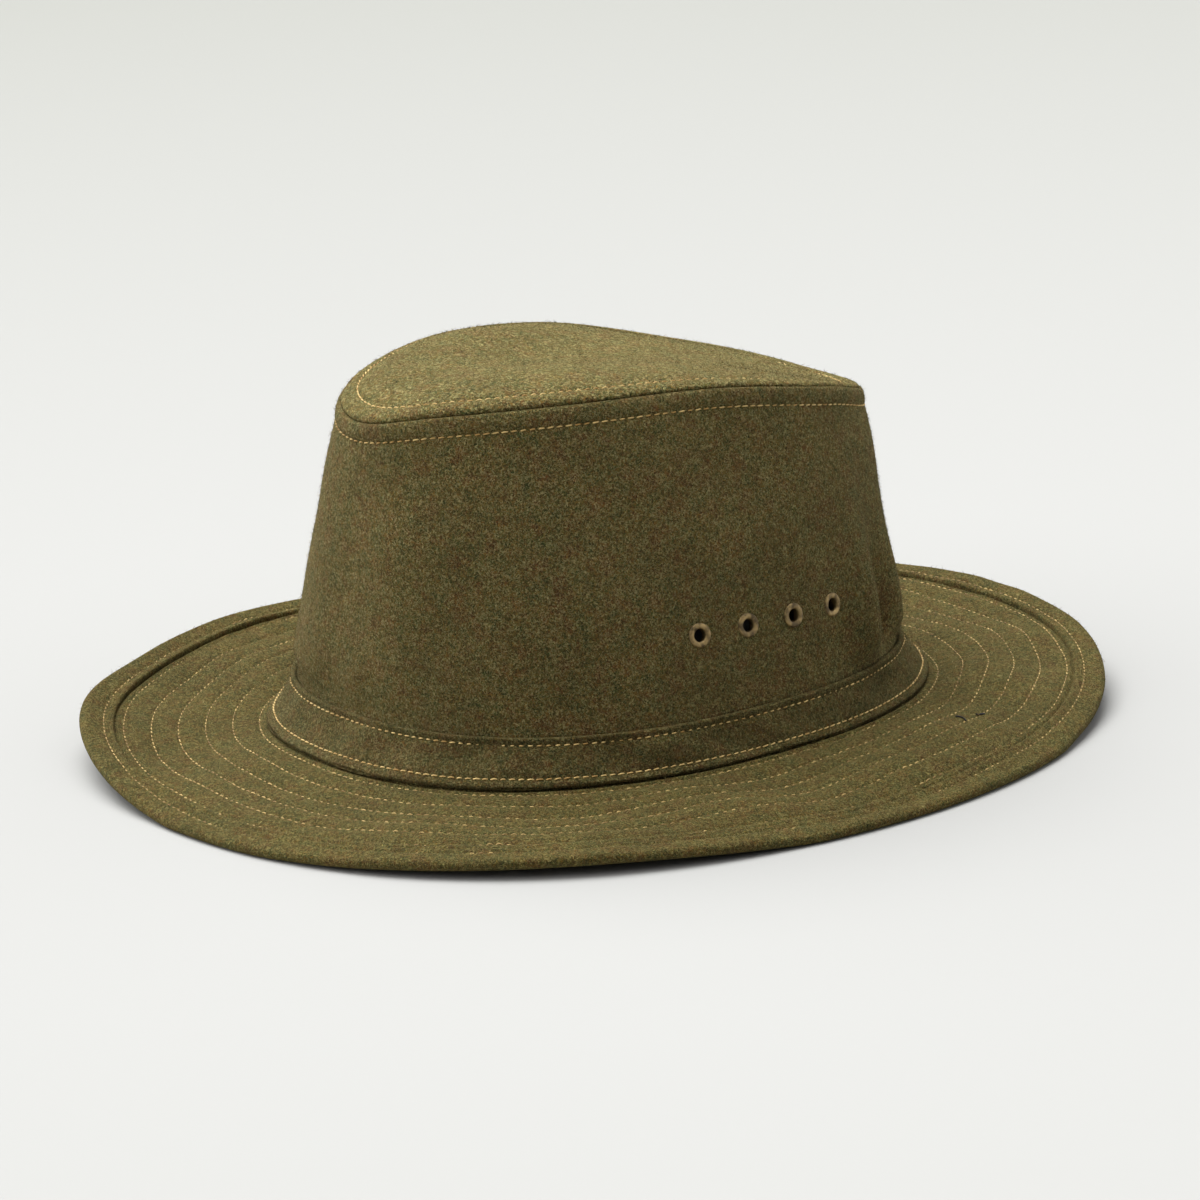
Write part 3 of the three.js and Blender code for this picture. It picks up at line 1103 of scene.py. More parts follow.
@dataclass
class CrownPiece(ClothPiece):
    """What the crown's two pieces share: the seam where they meet, and its stitching."""

    seam_gap: float = 0.2
    seam_roll: float = 2.0
    near_seam: float = 12.0
    near_step: float = 0.8
    allowance: float = 6.7
    allowance_puff: float = 0.5
    puff_power: float = 0.8
    seam_thickening: float = 0.15
    thick_reach: float = 2.0

    def seam_distance(self, angle: Array, place: Array) -> Array:
        """Gives the length of cloth between a point and the seam."""
        raise NotImplementedError

    def near_lines(self) -> Array:
        """Spaces lines from the seam, closely at the seam and at the stitching."""
        marks = (self.seam_gap, self.allowance)
        return clustered(self.seam_gap, self.near_seam, self.near_step, marks)

    def seam_relief(self, distance: Array) -> Array:
        """Rolls the cloth into the seam, puffs the allowance and dips the stitching.

        Args:
            distance: Lengths of cloth from the seam.

        Returns:
            How far the outer face stands over its plain line.
        """
        inside_roll = np.clip(self.seam_roll - distance, 0, self.seam_roll)
        roll = self.seam_roll - np.sqrt(self.seam_roll ** 2 - inside_roll ** 2)
        puff = self.allowance_puff * np.sin(
            math.pi * np.clip(distance / self.allowance, 0, 1)) ** self.puff_power
        return puff - roll - self.stitch_dip * hump(distance - self.allowance, self.stitch_width)

    def inner(self, angle: Array, place: Array, meeting: Array) -> Array:
        """Gives points of the inner face, a little thicker in the turn of the seam.

        Args:
            angle: Angles round the head.
            place: Places down the hat.
            meeting: Places that the directions are taken from.

        Returns:
            The points.
        """
        turn = hump(self.seam_distance(angle, place), self.thick_reach)
        depth = (self.form.face + self.form.crown_cloth) * (1 + self.seam_thickening * turn)
        return self.form.layer(angle, place, depth, meeting)


@dataclass
class CrownSide(CrownPiece):
    """Side wall of the crown: one ring of cloth with its seam roll, folds and holes."""

    swell: SoftWaves = SoftWaves(3, 44.0)
    swell_height: float = 0.5
    swell_fade: float = 20.0
    band_fade: float = 8.0
    rows: int = 66
    eyelet_rise: float = 23.4
    eyelet_spacing: float = 19.0
    eyelet_count: int = 4
    eyelet_back_shift: float = 5.4
    eyelet_reach: float = 2.9
    eyelet_depth: float = 8.0
    eyelet_press: float = 0.35
    press_reach: float = 5.0

    def seam_distance(self, angle: Array, place: Array) -> Array:
        """Gives the height of wall between a point and the seam.

        Args:
            angle: Angles round the head.
            place: Places down the hat.

        Returns:
            The heights.
        """
        top = self.form.seam_line(angle)[..., 2]
        foot = self.form.rest_height + self.form.band_height
        return (top - foot) * (place - Place.TOP_SEAM)

    def relief(self, angle: Array, place: Array) -> Array:
        """Rolls the wall into the seam, and presses it in at the eyelets.

        Args:
            angle: Angles round the head.
            place: Places down the hat.

        Returns:
            How far the outer face stands over its plain line.
        """
        distance = self.seam_distance(angle, place)
        points = self.form.line(angle, place)
        held = smooth(distance / self.swell_fade) * smooth(-place * self.band_fade)
        press = np.zeros_like(distance)
        for middle, _ in self.eyelet_places():
            away = np.linalg.norm(points - middle, axis=-1)
            press += self.eyelet_press * hump(away, self.press_reach)
        swell = self.swell_height * held * self.swell.at(points)
        return self.seam_relief(distance) - press + swell

    def eyelet_places(self) -> list[tuple[Array, Array]]:
        """Gives the middle and outward direction of each eyelet, left side first.

        Returns:
            Each eyelet's middle and direction.
        """
        half = self.form.head_length / 2 + self.form.crown_cloth + self.form.face
        along = np.arange(self.eyelet_count) - (self.eyelet_count - 1) / 2
        back = self.eyelet_back_shift + along * self.eyelet_spacing
        squareness = self.form.head_squareness
        across = (1 - np.abs(back / half) ** squareness) ** (1 / squareness)
        turn = np.arctan2(across, -back / half)
        angle = np.concatenate([turn, -turn])
        place = np.full(angle.shape, -self.eyelet_rise / self.form.wall_length)
        depth = np.full(angle.shape, self.form.face + self.form.crown_cloth / 2)
        middles = self.form.layer(angle, place, depth)
        return list(zip(middles, self.form.normal(angle, place)))

    def eyelet_lifts(self) -> Array:
        """Gives how far the finished wall stands out where each eyelet sits."""
        middles = np.array([middle for middle, _ in self.eyelet_places()])
        return self.swell_height * self.swell.at(middles) - self.eyelet_press

    def open_eyelets(self, outer: Array, inner: Array) -> Array:
        """Draws points near an eyelet to the rim of its hole, and opens the hole.

        Args:
            outer: Points of the outer face, which are moved.
            inner: Points of the inner face, which are moved.

        Returns:
            The cells that are open.
        """
        inside = np.zeros(outer.shape[:2], bool)
        least = 0.05
        for centre, direction in self.eyelet_places():
            for face in (outer, inner):
                offset = face - centre
                along = offset @ direction
                flat = offset - along[..., None] * direction
                across = np.linalg.norm(flat, axis=-1)
                cut = (across < self.eyelet_reach) & (np.abs(along) < self.eyelet_depth)
                push = (self.eyelet_reach - across[cut]) / np.maximum(across[cut], least)
                face[cut] += flat[cut] * push[:, None]
                inside |= cut
        beside = np.roll(inside, -1, 1)
        return inside[:-1] & inside[1:] & beside[:-1] & beside[1:]

    def build(self) -> Piece:
        """Builds the wall and lets it stand for its solid.

        Returns:
            The piece.
        """
        angle = self.angles()
        height = self.seam_distance(angle, np.zeros_like(angle))
        upper = Place.TOP_SEAM + self.near_lines()[:, None] / height
        rest = np.linspace(0, 1, self.rows)[1:, None]
        hidden_foot = self.form.brim_turn_up - self.form.turn_up_gap
        lower = upper[-1] + (hidden_foot - upper[-1]) * rest
        place = np.concatenate([upper, lower])
        angle = np.broadcast_to(angle, place.shape)
        outer = self.outer(angle, place)
        inner = self.inner(angle, place, np.maximum(place, Place.TOP_SEAM))
        holes = self.open_eyelets(outer, inner)
        return self.cover("crown_side", ClothShell(outer, inner, holes), "crown_wool")

    def stitch_rows(self) -> list[StitchRow]:
        """Gives the row under the seam.

        Returns:
            The row, as a list of one.
        """
        angle = self.angles()
        height = self.seam_distance(angle, np.zeros_like(angle))
        return [self.row(Place.TOP_SEAM + self.allowance / height)]


@dataclass
class CrownTop(CrownPiece):
    """Domed top panel of the crown, with its edge rolled into the seam."""

    allowance_puff: float = 0.55
    stitch_dip: float = 0.3
    swell: SoftWaves = SoftWaves(8, 60.0)
    swell_height: float = 0.4
    swell_fade: float = 25.0
    far_sink: float = 0.5
    far_angle: float = 215.0
    far_spread: float = 55.0
    rows: int = 38
    pole_gap: float = 0.03

    def seam_distance(self, angle: Array, place: Array) -> Array:
        """Gives the length of the panel between a point and the seam.

        Args:
            angle: Angles round the head.
            place: Places down the hat.

        Returns:
            The lengths, in plan.
        """
        seam = self.form.seam_line(angle)
        radius = np.hypot(seam[..., 0], seam[..., 1] - self.form.top_back_shift)
        return radius * (Place.TOP_SEAM - place)

    def radius(self) -> Array:
        """Gives the distance from the panel's middle to the seam for each column."""
        angle = self.angles()
        return self.seam_distance(angle, np.full_like(angle, Place.TOP_MIDDLE))

    def relief(self, angle: Array, place: Array) -> Array:
        """Rolls the panel into the seam, and lets it swell inside.

        Args:
            angle: Angles round the head.
            place: Places down the hat.

        Returns:
            How far the outer face stands over its plain line.
        """
        distance = self.seam_distance(angle, place)
        held = smooth(distance / self.swell_fade)
        swell = self.swell.at(self.form.line(angle, place)) * held
        return self.seam_relief(distance) + self.swell_height * swell

    def build(self) -> Piece:
        """Builds the panel and lets it stand for its solid.

        Returns:
            The piece.
        """
        edge = Place.TOP_SEAM - self.near_lines()[::-1, None] / self.radius()
        rest = np.linspace(0, 1, self.rows)[:-1, None]
        start = Place.TOP_MIDDLE + self.pole_gap
        place = np.concatenate([start + (edge[0] - start) * rest, edge])
        angle = np.broadcast_to(self.angles(), place.shape)
        outer = self.outer(angle, place)
        inner = self.inner(angle, place, np.minimum(place, Place.TOP_SEAM))
        pole = outer[0].mean(0), inner[0].mean(0)
        return self.cover("crown_top", ClothShell(outer, inner, pole=pole), "crown_wool")

    def stitch_rows(self) -> list[StitchRow]:
        """Gives the row inside the seam."""
        far = hump((np.degrees(self.angles()) - self.far_angle) / self.far_spread, 1.0)
        return [self.row(Place.TOP_SEAM - self.allowance / self.radius(), self.far_sink * far)]


@dataclass
class HatBand(ClothPiece):
    """Cloth band over the joint of crown and brim, folded at both edges."""

    stitch_from_top: float = 3.2
    stitch_from_foot: float = 2.8
    edge_puff: float = 0.5
    top_puff_share: float = 0.2
    puff_place: float = 1.2
    top_puff_width: float = 1.4
    foot_puff_width: float = 1.5
    swell: SoftWaves = SoftWaves(21, 24.0)
    swell_height: float = 0.8
    swell_middle: float = 0.5
    swell_reach: float = 0.35
    wander: SoftWaves = SoftWaves(5, 48.0)
    wander_height: float = 0.25
    top_place: float = 0.03
    foot_place: float = 1.0
    least_full: float = 0.1
    upper_sink: float = 0.2
    row_step: float = 0.7

    def relief(self, angle: Array, place: Array) -> Array:
        """Puffs the folded edges, and dips the band at its two rows of stitching.

        Args:
            angle: Angles round the head.
            place: Places down the hat.

        Returns:
            How far the outer face stands over its plain line.
        """
        down = place * self.form.band_height
        up = self.form.band_height - down
        dip = self.stitch_dip * (hump(down - self.stitch_from_top, self.stitch_width)
                                 + hump(up - self.stitch_from_foot, self.stitch_width))
        puff = self.edge_puff * (
            self.top_puff_share * hump(down - self.puff_place, self.top_puff_width)
            + hump(up - self.puff_place, self.foot_puff_width))
        swell = self.swell.at(self.form.line(angle, place))
        held = hump(place - self.swell_middle, self.swell_reach)
        return self.form.band_cloth + 2 * self.form.face - dip + puff + (
            self.swell_height * held * swell)

    def build(self) -> Piece:
        """Builds the band and lets it stand for its solid.

        Returns:
            The piece.
        """
        form = self.form
        marks = (0.0, self.stitch_from_top, form.band_height - self.stitch_from_foot,
                 form.band_height)
        run = clustered(0.0, form.band_height, self.row_step, marks)
        angle, share = self.grid(run / form.band_height)
        foot = self.form.line(angle, np.ones_like(share))
        wander = self.wander_height / form.band_height * self.wander.at(foot)
        place = self.top_place + share * (self.foot_place - self.top_place + wander * share)
        from_end = np.minimum(share, 1 - share) * form.band_height
        rounding = form.band_cloth / 2
        close = np.clip(rounding - from_end, 0, rounding)
        full = np.sqrt(np.clip(rounding ** 2 - close ** 2, 0, None)) / rounding
        face = self.relief(angle, place)
        middle = (face + form.face) / 2
        half = (face - form.face) / 2
        outer = form.layer(angle, place, form.face - middle - half * full)
        back = form.face - middle + half * np.maximum(full, self.least_full)
        inner = form.layer(angle, place, back)
        return self.cover("hat_band", ClothShell(outer, inner), "band_wool")

    def stitch_rows(self) -> list[StitchRow]:
        """Gives the upper row and the lower row.

        Returns:
            The rows.
        """
        height = self.form.band_height
        upper = np.full(self.columns, self.stitch_from_top / height)
        lower = np.full(self.columns, 1 - self.stitch_from_foot / height)
        return [self.row(upper, self.upper_sink), self.row(lower)]


@dataclass
class Brim(ClothPiece):
    """Quilted brim: two plies sewn together in rings, up to the bound edge."""

    row_distances: tuple[float, ...] = (3.4, 11.9, 20.4, 28.9, 37.4, 45.9)
    sinks: tuple[SinkRow, ...] = (
        SinkRow(0, 0.06, 0.3), SinkRow(12, 0.1, 0.6), SinkRow(35, 0.1, 0.8),
        SinkRow(60, 0.08, 0.8), SinkRow(95, 0.12, 0.5), SinkRow(112, 0.14, 0.25),
        SinkRow(125, 0.06, 0.1), SinkRow(160, 0.08, 0.08), SinkRow(200, 0.12, 0.14),
        SinkRow(250, 0.2, 0.25), SinkRow(285, 0.3, 0.42), SinkRow(302, 0.24, 0.3),
        SinkRow(316, 0.06, 0.1), SinkRow(335, 0.03, 0.05), SinkRow(348, 0.04, 0.12),
    )
    edge_form: tuple[EdgeRow, ...] = (
        EdgeRow(0, 0.15), EdgeRow(20, 0.08), EdgeRow(50, 0.05), EdgeRow(85, 0.08),
        EdgeRow(110, 0.25), EdgeRow(140, 0.6), EdgeRow(180, 0.9), EdgeRow(235, 0.9),
        EdgeRow(290, 0.9), EdgeRow(318, 0.8), EdgeRow(340, 0.35),
    )
    stitch_dip: float = 0.35
    quilt_puff: float = 0.25
    quilt_width: float = 2.9
    swell: SoftWaves = SoftWaves(13, 58.0)
    swell_height: float = 0.95
    swell_start: float = 2.0
    swell_fade: float = 12.0
    ripple: SoftWaves = SoftWaves(17, 13.0)
    ripple_height: float = 0.14
    wander: SoftWaves = SoftWaves(37, 46.0)
    wander_height: float = 0.35
    tuck: Tuck = Tuck(96.0, 9.0, 1.3, 7.0, 0.7)
    groove_width: float = 0.6
    groove_depth: float = 0.3
    clear_depth: float = 0.9
    foot_roll: float = 0.6
    foot_roll_place: float = 1.9
    foot_roll_width: float = 1.0
    hidden_places: tuple[float, ...] = (0.6, 0.8, 0.94)
    under_share: float = 0.4
    under_fade: float = 10.0
    tongue: float = 1.2
    row_step: float = 1.3

    @property
    def edge_start(self) -> float:
        """Width of brim between the band's foot and the bound edge."""
        return self.form.brim_width - self.form.binding_width

    def foot_distance(self, place: Array) -> Array:
        """Gives the width of brim between the band's foot and a point."""
        return self.form.brim_width * (place - Place.BAND_FOOT)

    def relief(self, angle: Array, place: Array) -> Array:
        """Rolls the brim up to the band, dips it at each row and puffs it between.

        Args:
            angle: Angles round the head.
            place: Places down the hat.

        Returns:
            How far the outer face stands over its plain line.
        """
        distance = self.foot_distance(place)
        points = self.form.line(angle, place)
        sewn = distance + self.wander_height * self.wander.at(points)
        lift = np.zeros_like(distance)
        for row in self.row_distances:
            lift -= self.stitch_dip * hump(sewn - row, self.stitch_width)
        rows = np.array(self.row_distances)
        for middle in (rows[1:] + rows[:-1]) / 2:
            lift += self.quilt_puff * hump(sewn - middle, self.quilt_width)
        out = smooth((distance - self.swell_start) / self.swell_fade)
        to_edge = self.edge_start - distance
        lift += self.swell_height * self.swell.at(points) * out * smooth(to_edge / self.swell_fade)
        lift += self.ripple_height * self.ripple.at(points) * out
        lift += self.foot_roll * hump(distance - self.foot_roll_place, self.foot_roll_width)
        tuck = self.tuck
        across = np.hypot(points[..., 0], points[..., 1]) * (angle - math.radians(tuck.angle))
        lift -= tuck.depth * hump(across, tuck.width) * hump(distance - tuck.distance, tuck.length)
        depth = self.groove_depth + self.clear_depth * read_table(self.edge_form, "clear", angle)
        return lift - depth * hump(to_edge, self.groove_width)

    def build(self) -> Piece:
        """Builds the brim and lets it stand for its solid.

        Returns:
            The piece.
        """
        form = self.form
        hidden = (form.brim_turn_up + form.turn_up_gap, *self.hidden_places)
        marks = (*self.row_distances, self.edge_start)
        lines = clustered(0.0, self.edge_start + self.tongue, self.row_step, marks)
        places = np.concatenate([hidden, Place.BAND_FOOT + lines / form.brim_width])
        angle, place = self.grid(places)
        outer = self.outer(angle, place)
        fade = smooth((place - Place.BAND_FOOT) * self.under_fade)
        under = self.under_share * self.relief(angle, place) * fade
        inner = form.layer(angle, place, form.face + form.brim_cloth + under)
        return self.cover("brim", ClothShell(outer, inner), "brim_wool")

    def stitch_rows(self) -> list[StitchRow]:
        """Gives the rings of quilting, from the band outwards.

        Returns:
            The rings.
        """
        angle = self.angles()
        rows = []
        for distance in self.row_distances:
            place = np.full(self.columns, Place.BAND_FOOT + distance / self.form.brim_width)
            aside = self.wander_height * self.wander.at(self.form.line(angle, place))
            column = "edge" if distance == self.row_distances[-1] else "quilting"
            sink = read_table(self.sinks, column, angle)
            rows.append(self.row(place - aside / self.form.brim_width, sink))
        return rows


@dataclass
class BrimBinding(Brim):
    """Rolled edge of the brim, sewn down near the groove at its inner side."""

    stitch_distance: float = 52.0
    stitch_dip: float = 0.4
    lift: float = 0.1
    clear_lift: float = 0.5
    lip: float = 0.5
    lip_place: float = 1.0
    lip_width: float = 1.6
    inner_rounding: float = 0.9
    outer_rounding: float = 2.1
    inner_fullness: float = 0.9
    outer_fullness: float = 0.98
    swell: SoftWaves = SoftWaves(29, 22.0)
    swell_height: float = 0.2
    row_step: float = 0.6

    def relief(self, angle: Array, place: Array) -> Array:
        """Lifts the edge over the brim, and dips it at its stitching.

        Args:
            angle: Angles round the head.
            place: Places down the hat.

        Returns:
            How far the outer face stands over its plain line.
        """
        distance = self.foot_distance(place)
        clear = read_table(self.edge_form, "clear", angle)
        lip = self.lip * clear * hump(distance - self.edge_start - self.lip_place, self.lip_width)
        dip = self.stitch_dip * hump(distance - self.stitch_distance, self.stitch_width)
        swell = self.swell_height * self.swell.at(self.form.line(angle, place))
        return self.lift + self.clear_lift * clear + lip - dip + swell

    def build(self) -> Piece:
        """Builds the rolled edge and lets it stand for its solid.

        Returns:
            The piece.
        """
        form = self.form
        width = form.binding_width
        row = self.stitch_distance - form.brim_width + width
        angle, along = self.grid(clustered(0.0, width, self.row_step, (0.0, row, width)))
        place = form.groove + along / form.brim_width
        upper = self.relief(angle, place)
        lower = np.full_like(upper, form.brim_cloth + form.binding_proud)
        half = (upper + lower) / 2
        middle = form.face + lower - half
        inner_side = np.clip(1 - along / self.inner_rounding, 0, 1) * self.inner_fullness
        outer_side = np.clip(1 - (width - along) / self.outer_rounding, 0, 1) * self.outer_fullness
        full = np.sqrt(np.clip(1 - np.maximum(inner_side, outer_side) ** 2, 0, 1))
        outer = form.layer(angle, place, middle - half * full)
        inner = form.layer(angle, place, middle + half * full)
        return self.cover("brim_binding", ClothShell(outer, inner), "brim_wool")

    def stitch_rows(self) -> list[StitchRow]:
        """Gives the row that holds the edge down.

        Returns:
            The row, as a list of one.
        """
        place = Place.BAND_FOOT + self.stitch_distance / self.form.brim_width
        sink = read_table(self.sinks, "edge", self.angles())
        return [self.row(np.full(self.columns, place), sink)]


@dataclass
class NodeBuild:
    """Runs a Geometry Nodes tree on a mesh and gives the plain mesh that it makes."""

    name: str
    sizes: dict[str, float]

    def tree(self, material: Material) -> Tree:
        """Builds the tree with its named inputs.

        Args:
            material: The finish that the tree sets.

        Returns:
            The tree.
        """
        tree = bpy.data.node_groups.new(self.name, "GeometryNodeTree")
        add = tree.interface.new_socket
        add(name="Geometry", in_out="INPUT", socket_type="NodeSocketGeometry")
        for name, value in self.sizes.items():
            kind = "NodeSocketInt" if isinstance(value, int) else "NodeSocketFloat"
            add(name=name, in_out="INPUT", socket_type=kind)
        add(name="Geometry", in_out="OUTPUT", socket_type="NodeSocketGeometry")
        given = add_node(tree, "NodeGroupInput").outputs
        instances = self.instances(tree, given)
        real = add_node(tree, "GeometryNodeRealizeInstances", {0: instances}).outputs[0]
        dressed = add_node(tree, "GeometryNodeSetMaterial", {
            "Geometry": real, "Material": material}).outputs[0]
        add_node(tree, "NodeGroupOutput", {0: dressed})
        return tree

    def instances(self, tree: Tree, given: Sockets) -> Socket:
        """Adds the nodes that make the instances, and gives their geometry."""
        raise NotImplementedError

    def mesh(self, base: Mesh, material: Material) -> Mesh:
        """Runs the tree on a mesh.

        Args:
            base: The mesh that the tree reads.
            material: The finish of what it makes.

        Returns:
            A plain mesh.
        """
        carrier = bpy.data.objects.new(self.name, base)
        bpy.context.scene.collection.objects.link(carrier)
        modifier = carrier.modifiers.new(self.name, "NODES")
        modifier.node_group = self.tree(material)
        for item in modifier.node_group.interface.items_tree:
            if item.in_out == "INPUT" and item.name in self.sizes:
                modifier[item.identifier] = self.sizes[item.name]
        ready = carrier.evaluated_get(bpy.context.evaluated_depsgraph_get())
        made = bpy.data.meshes.new_from_object(ready)
        carrier.modifiers.remove(modifier)
        bpy.data.objects.remove(carrier)
        return made

    def random(self, tree: Tree, given: Sockets, shift: int,
               low: float = 0.0, high: float = 1.0) -> Socket:
        """Adds a random value between two values, with its own shift of the seed."""
        seed = add_node(tree, "ShaderNodeMath", {0: given["Seed"], 1: float(shift)}).outputs[0]
        return add_node(tree, "FunctionNodeRandomValue", {
            2: low, 3: high, "Seed": seed}, data_type="FLOAT").outputs[1]

    def turned(self, tree: Tree, rotation: Socket, euler: Socket) -> Socket:
        """Turns a rotation about its own axes."""
        turn = add_node(tree, "FunctionNodeEulerToRotation", {0: euler}).outputs[0]
        return add_node(tree, "FunctionNodeRotateRotation", {0: rotation, 1: turn},
                        rotation_space="LOCAL").outputs[0]

    def toned(self, tree: Tree, instances: Socket, given: Sockets) -> Socket:
        """Gives each instance a random tone, which its finish reads."""
        return add_node(tree, "GeometryNodeStoreNamedAttribute", {
            "Geometry": instances, "Name": "tone", "Value": self.random(tree, given, 4)},
            data_type="FLOAT", domain="INSTANCE").outputs[0]


@dataclass
class Topstitching(NodeBuild):
    """Rows of lockstitch: a short arched thread at each pitch along closed paths."""

    wobble: float = 0.06
    shortest: float = 0.86
    longest: float = 1.1
    arch: float = 3.0
    arch_steps: int = 5
    thread_sides: int = 5

    def base(self, rows: list[StitchRow]) -> Mesh:
        """Builds the paths as closed loops of edges with normals and sinks.

        Args:
            rows: The rows of stitching.

        Returns:
            The mesh of edges.
        """
        edges = []
        start = 0
        for row in rows:
            count = len(row.points)
            edges += [(start + i, start + (i + 1) % count) for i in range(count)]
            start += count
        points = np.concatenate([row.points for row in rows])
        mesh = bpy.data.meshes.new(self.name)
        mesh.from_pydata((points * MM).tolist(), edges, [])
        normals = np.concatenate([row.normals for row in rows])
        mesh.attributes.new("cloth_normal", "FLOAT_VECTOR", "POINT").data.foreach_set(
            "vector", normals.ravel())
        sinks = np.concatenate([row.sink for row in rows]) * MM
        mesh.attributes.new("sink", "FLOAT", "POINT").data.foreach_set("value", sinks)
        return mesh

    def instances(self, tree: Tree, given: Sockets) -> Socket:
        """Puts one stitch at each pitch, turned along the path and out of the cloth.

        Args:
            tree: The tree.
            given: Its inputs.

        Returns:
            The stitches.
        """
        path = add_node(tree, "GeometryNodeMeshToCurve", {0: given["Geometry"]}).outputs[0]
        even = add_node(tree, "GeometryNodeResampleCurve", {
            "Curve": path, "Length": given["Pitch"]}, mode="LENGTH").outputs[0]
        tangent = add_node(tree, "GeometryNodeInputTangent").outputs[0]
        normal = add_node(tree, "GeometryNodeInputNamedAttribute", {
            "Name": "cloth_normal"}, data_type="FLOAT_VECTOR").outputs[0]
        sink = add_node(tree, "GeometryNodeInputNamedAttribute", {
            "Name": "sink"}, data_type="FLOAT").outputs[0]
        upright = add_node(tree, "FunctionNodeAlignRotationToVector", {
            "Vector": normal}, axis="Z").outputs[0]
        facing = add_node(tree, "FunctionNodeAlignRotationToVector", {
            "Rotation": upright, "Vector": tangent}, axis="X", pivot_axis="Z").outputs[0]
        wobble = self.random(tree, given, 1, -self.wobble, self.wobble)
        turn = add_node(tree, "ShaderNodeMath", {0: given["Slant"], 1: wobble}).outputs[0]
        euler = add_node(tree, "ShaderNodeCombineXYZ", {2: turn}).outputs[0]
        long = self.random(tree, given, 2, self.shortest, self.longest)
        size = add_node(tree, "ShaderNodeCombineXYZ", {0: long, 1: 1.0, 2: 1.0}).outputs[0]
        placed = add_node(tree, "GeometryNodeInstanceOnPoints", {
            "Points": even, "Instance": self.stitch(tree, given),
            "Rotation": self.turned(tree, facing, euler), "Scale": size}).outputs[0]
        deeper = add_node(tree, "ShaderNodeMath", {
            0: self.random(tree, given, 3), 1: given["Uneven"], 2: sink},
            operation="MULTIPLY_ADD").outputs[0]
        down = add_node(tree, "ShaderNodeMath", {0: deeper, 1: -1.0},
                        operation="MULTIPLY").outputs[0]
        drop = add_node(tree, "ShaderNodeCombineXYZ", {2: down}).outputs[0]
        seated = add_node(tree, "GeometryNodeTranslateInstances", {
            "Instances": placed, "Translation": drop, "Local Space": True}).outputs[0]
        return self.toned(tree, seated, given)

    def stitch(self, tree: Tree, given: Sockets) -> Socket:
        """Builds one stitch: a thread that rises out of the cloth and dives back.

        Args:
            tree: The tree.
            given: Its inputs.

        Returns:
            The stitch.
        """
        half = add_node(tree, "ShaderNodeMath", {0: given["Stitch Length"], 1: 0.5},
                        operation="MULTIPLY").outputs[0]
        back, dive, top = [
            add_node(tree, "ShaderNodeMath", {0: value, 1: factor},
                     operation="MULTIPLY").outputs[0]
            for value, factor in ((half, -1.0), (given["Lift"], -1.0),
                                  (given["Lift"], self.arch))]
        start, end = [add_node(tree, "ShaderNodeCombineXYZ", {0: x, 2: dive}).outputs[0]
                      for x in (back, half)]
        middle = add_node(tree, "ShaderNodeCombineXYZ", {2: top}).outputs[0]
        arch = add_node(tree, "GeometryNodeCurveQuadraticBezier", {
            "Resolution": self.arch_steps, "Start": start, "Middle": middle,
            "End": end}).outputs[0]
        ring = add_node(tree, "GeometryNodeCurvePrimitiveCircle", {
            "Resolution": self.thread_sides, "Radius": given["Thread Radius"]},
            mode="RADIUS").outputs[0]
        return add_node(tree, "GeometryNodeCurveToMesh", {
            "Curve": arch, "Profile Curve": ring, "Fill Caps": True}).outputs[0]

    def build(self, rows: list[StitchRow], thread: Material, slot: str) -> Piece:
        """Builds the rows as one piece."""
        return finish_piece(self.name, self.mesh(self.base(rows), thread), thread)


@dataclass
class WoolNap(NodeBuild):
    """Loose fibre ends that stand out of the fulled face of the cloth."""

    least_lean: float = 0.75
    most_lean: float = 1.5
    shortest: float = 0.5
    longest: float = 1.3

    def instances(self, tree: Tree, given: Sockets) -> Socket:
        """Scatters fibres over the outer faces, each leaning its own way.

        Args:
            tree: The tree.
            given: Its inputs.

        Returns:
            The fibres.
        """
        outside = add_node(tree, "GeometryNodeInputNamedAttribute", {
            "Name": "napped"}, data_type="BOOLEAN").outputs[0]
        spots = add_node(tree, "GeometryNodeDistributePointsOnFaces", {
            "Mesh": given["Geometry"], "Selection": outside, "Density": given["Density"],
            "Seed": given["Seed"]}, distribute_method="RANDOM").outputs
        lean = self.random(tree, given, 1, self.least_lean, self.most_lean)
        spin = self.random(tree, given, 2, 0.0, TAU)
        euler = add_node(tree, "ShaderNodeCombineXYZ", {0: lean, 2: spin}).outputs[0]
        long = self.random(tree, given, 3, self.shortest, self.longest)
        size = add_node(tree, "ShaderNodeCombineXYZ", {0: 1.0, 1: 1.0, 2: long}).outputs[0]
        fibre = add_node(tree, "GeometryNodeMeshCone", {
            "Vertices": 3, "Side Segments": 1, "Fill Segments": 1, "Radius Top": 0.0,
            "Radius Bottom": given["Fibre Radius"], "Depth": given["Fibre Length"]},
            fill_type="NGON").outputs[0]
        placed = add_node(tree, "GeometryNodeInstanceOnPoints", {
            "Points": spots["Points"], "Instance": fibre,
            "Rotation": self.turned(tree, spots["Rotation"], euler), "Scale": size}).outputs[0]
        return self.toned(tree, placed, given)

    def build(self, cloth: Piece, fibres: Material, slot: str) -> Piece:
        """Builds the nap of one piece of cloth."""
        return finish_piece(self.name, self.mesh(cloth.data.copy(), fibres), fibres)


def ring_faces(rings: int, sides: int) -> tuple[Array, Array]:
    """Numbers the points of stacked rings.

    Args:
        rings: How many rings there are.
        sides: How many points each has.

    Returns:
        Each point's number, and that of the point beside it in its ring.
    """
    here = np.arange(rings * sides).reshape(rings, sides)
    return here, np.roll(here, -1, 1)


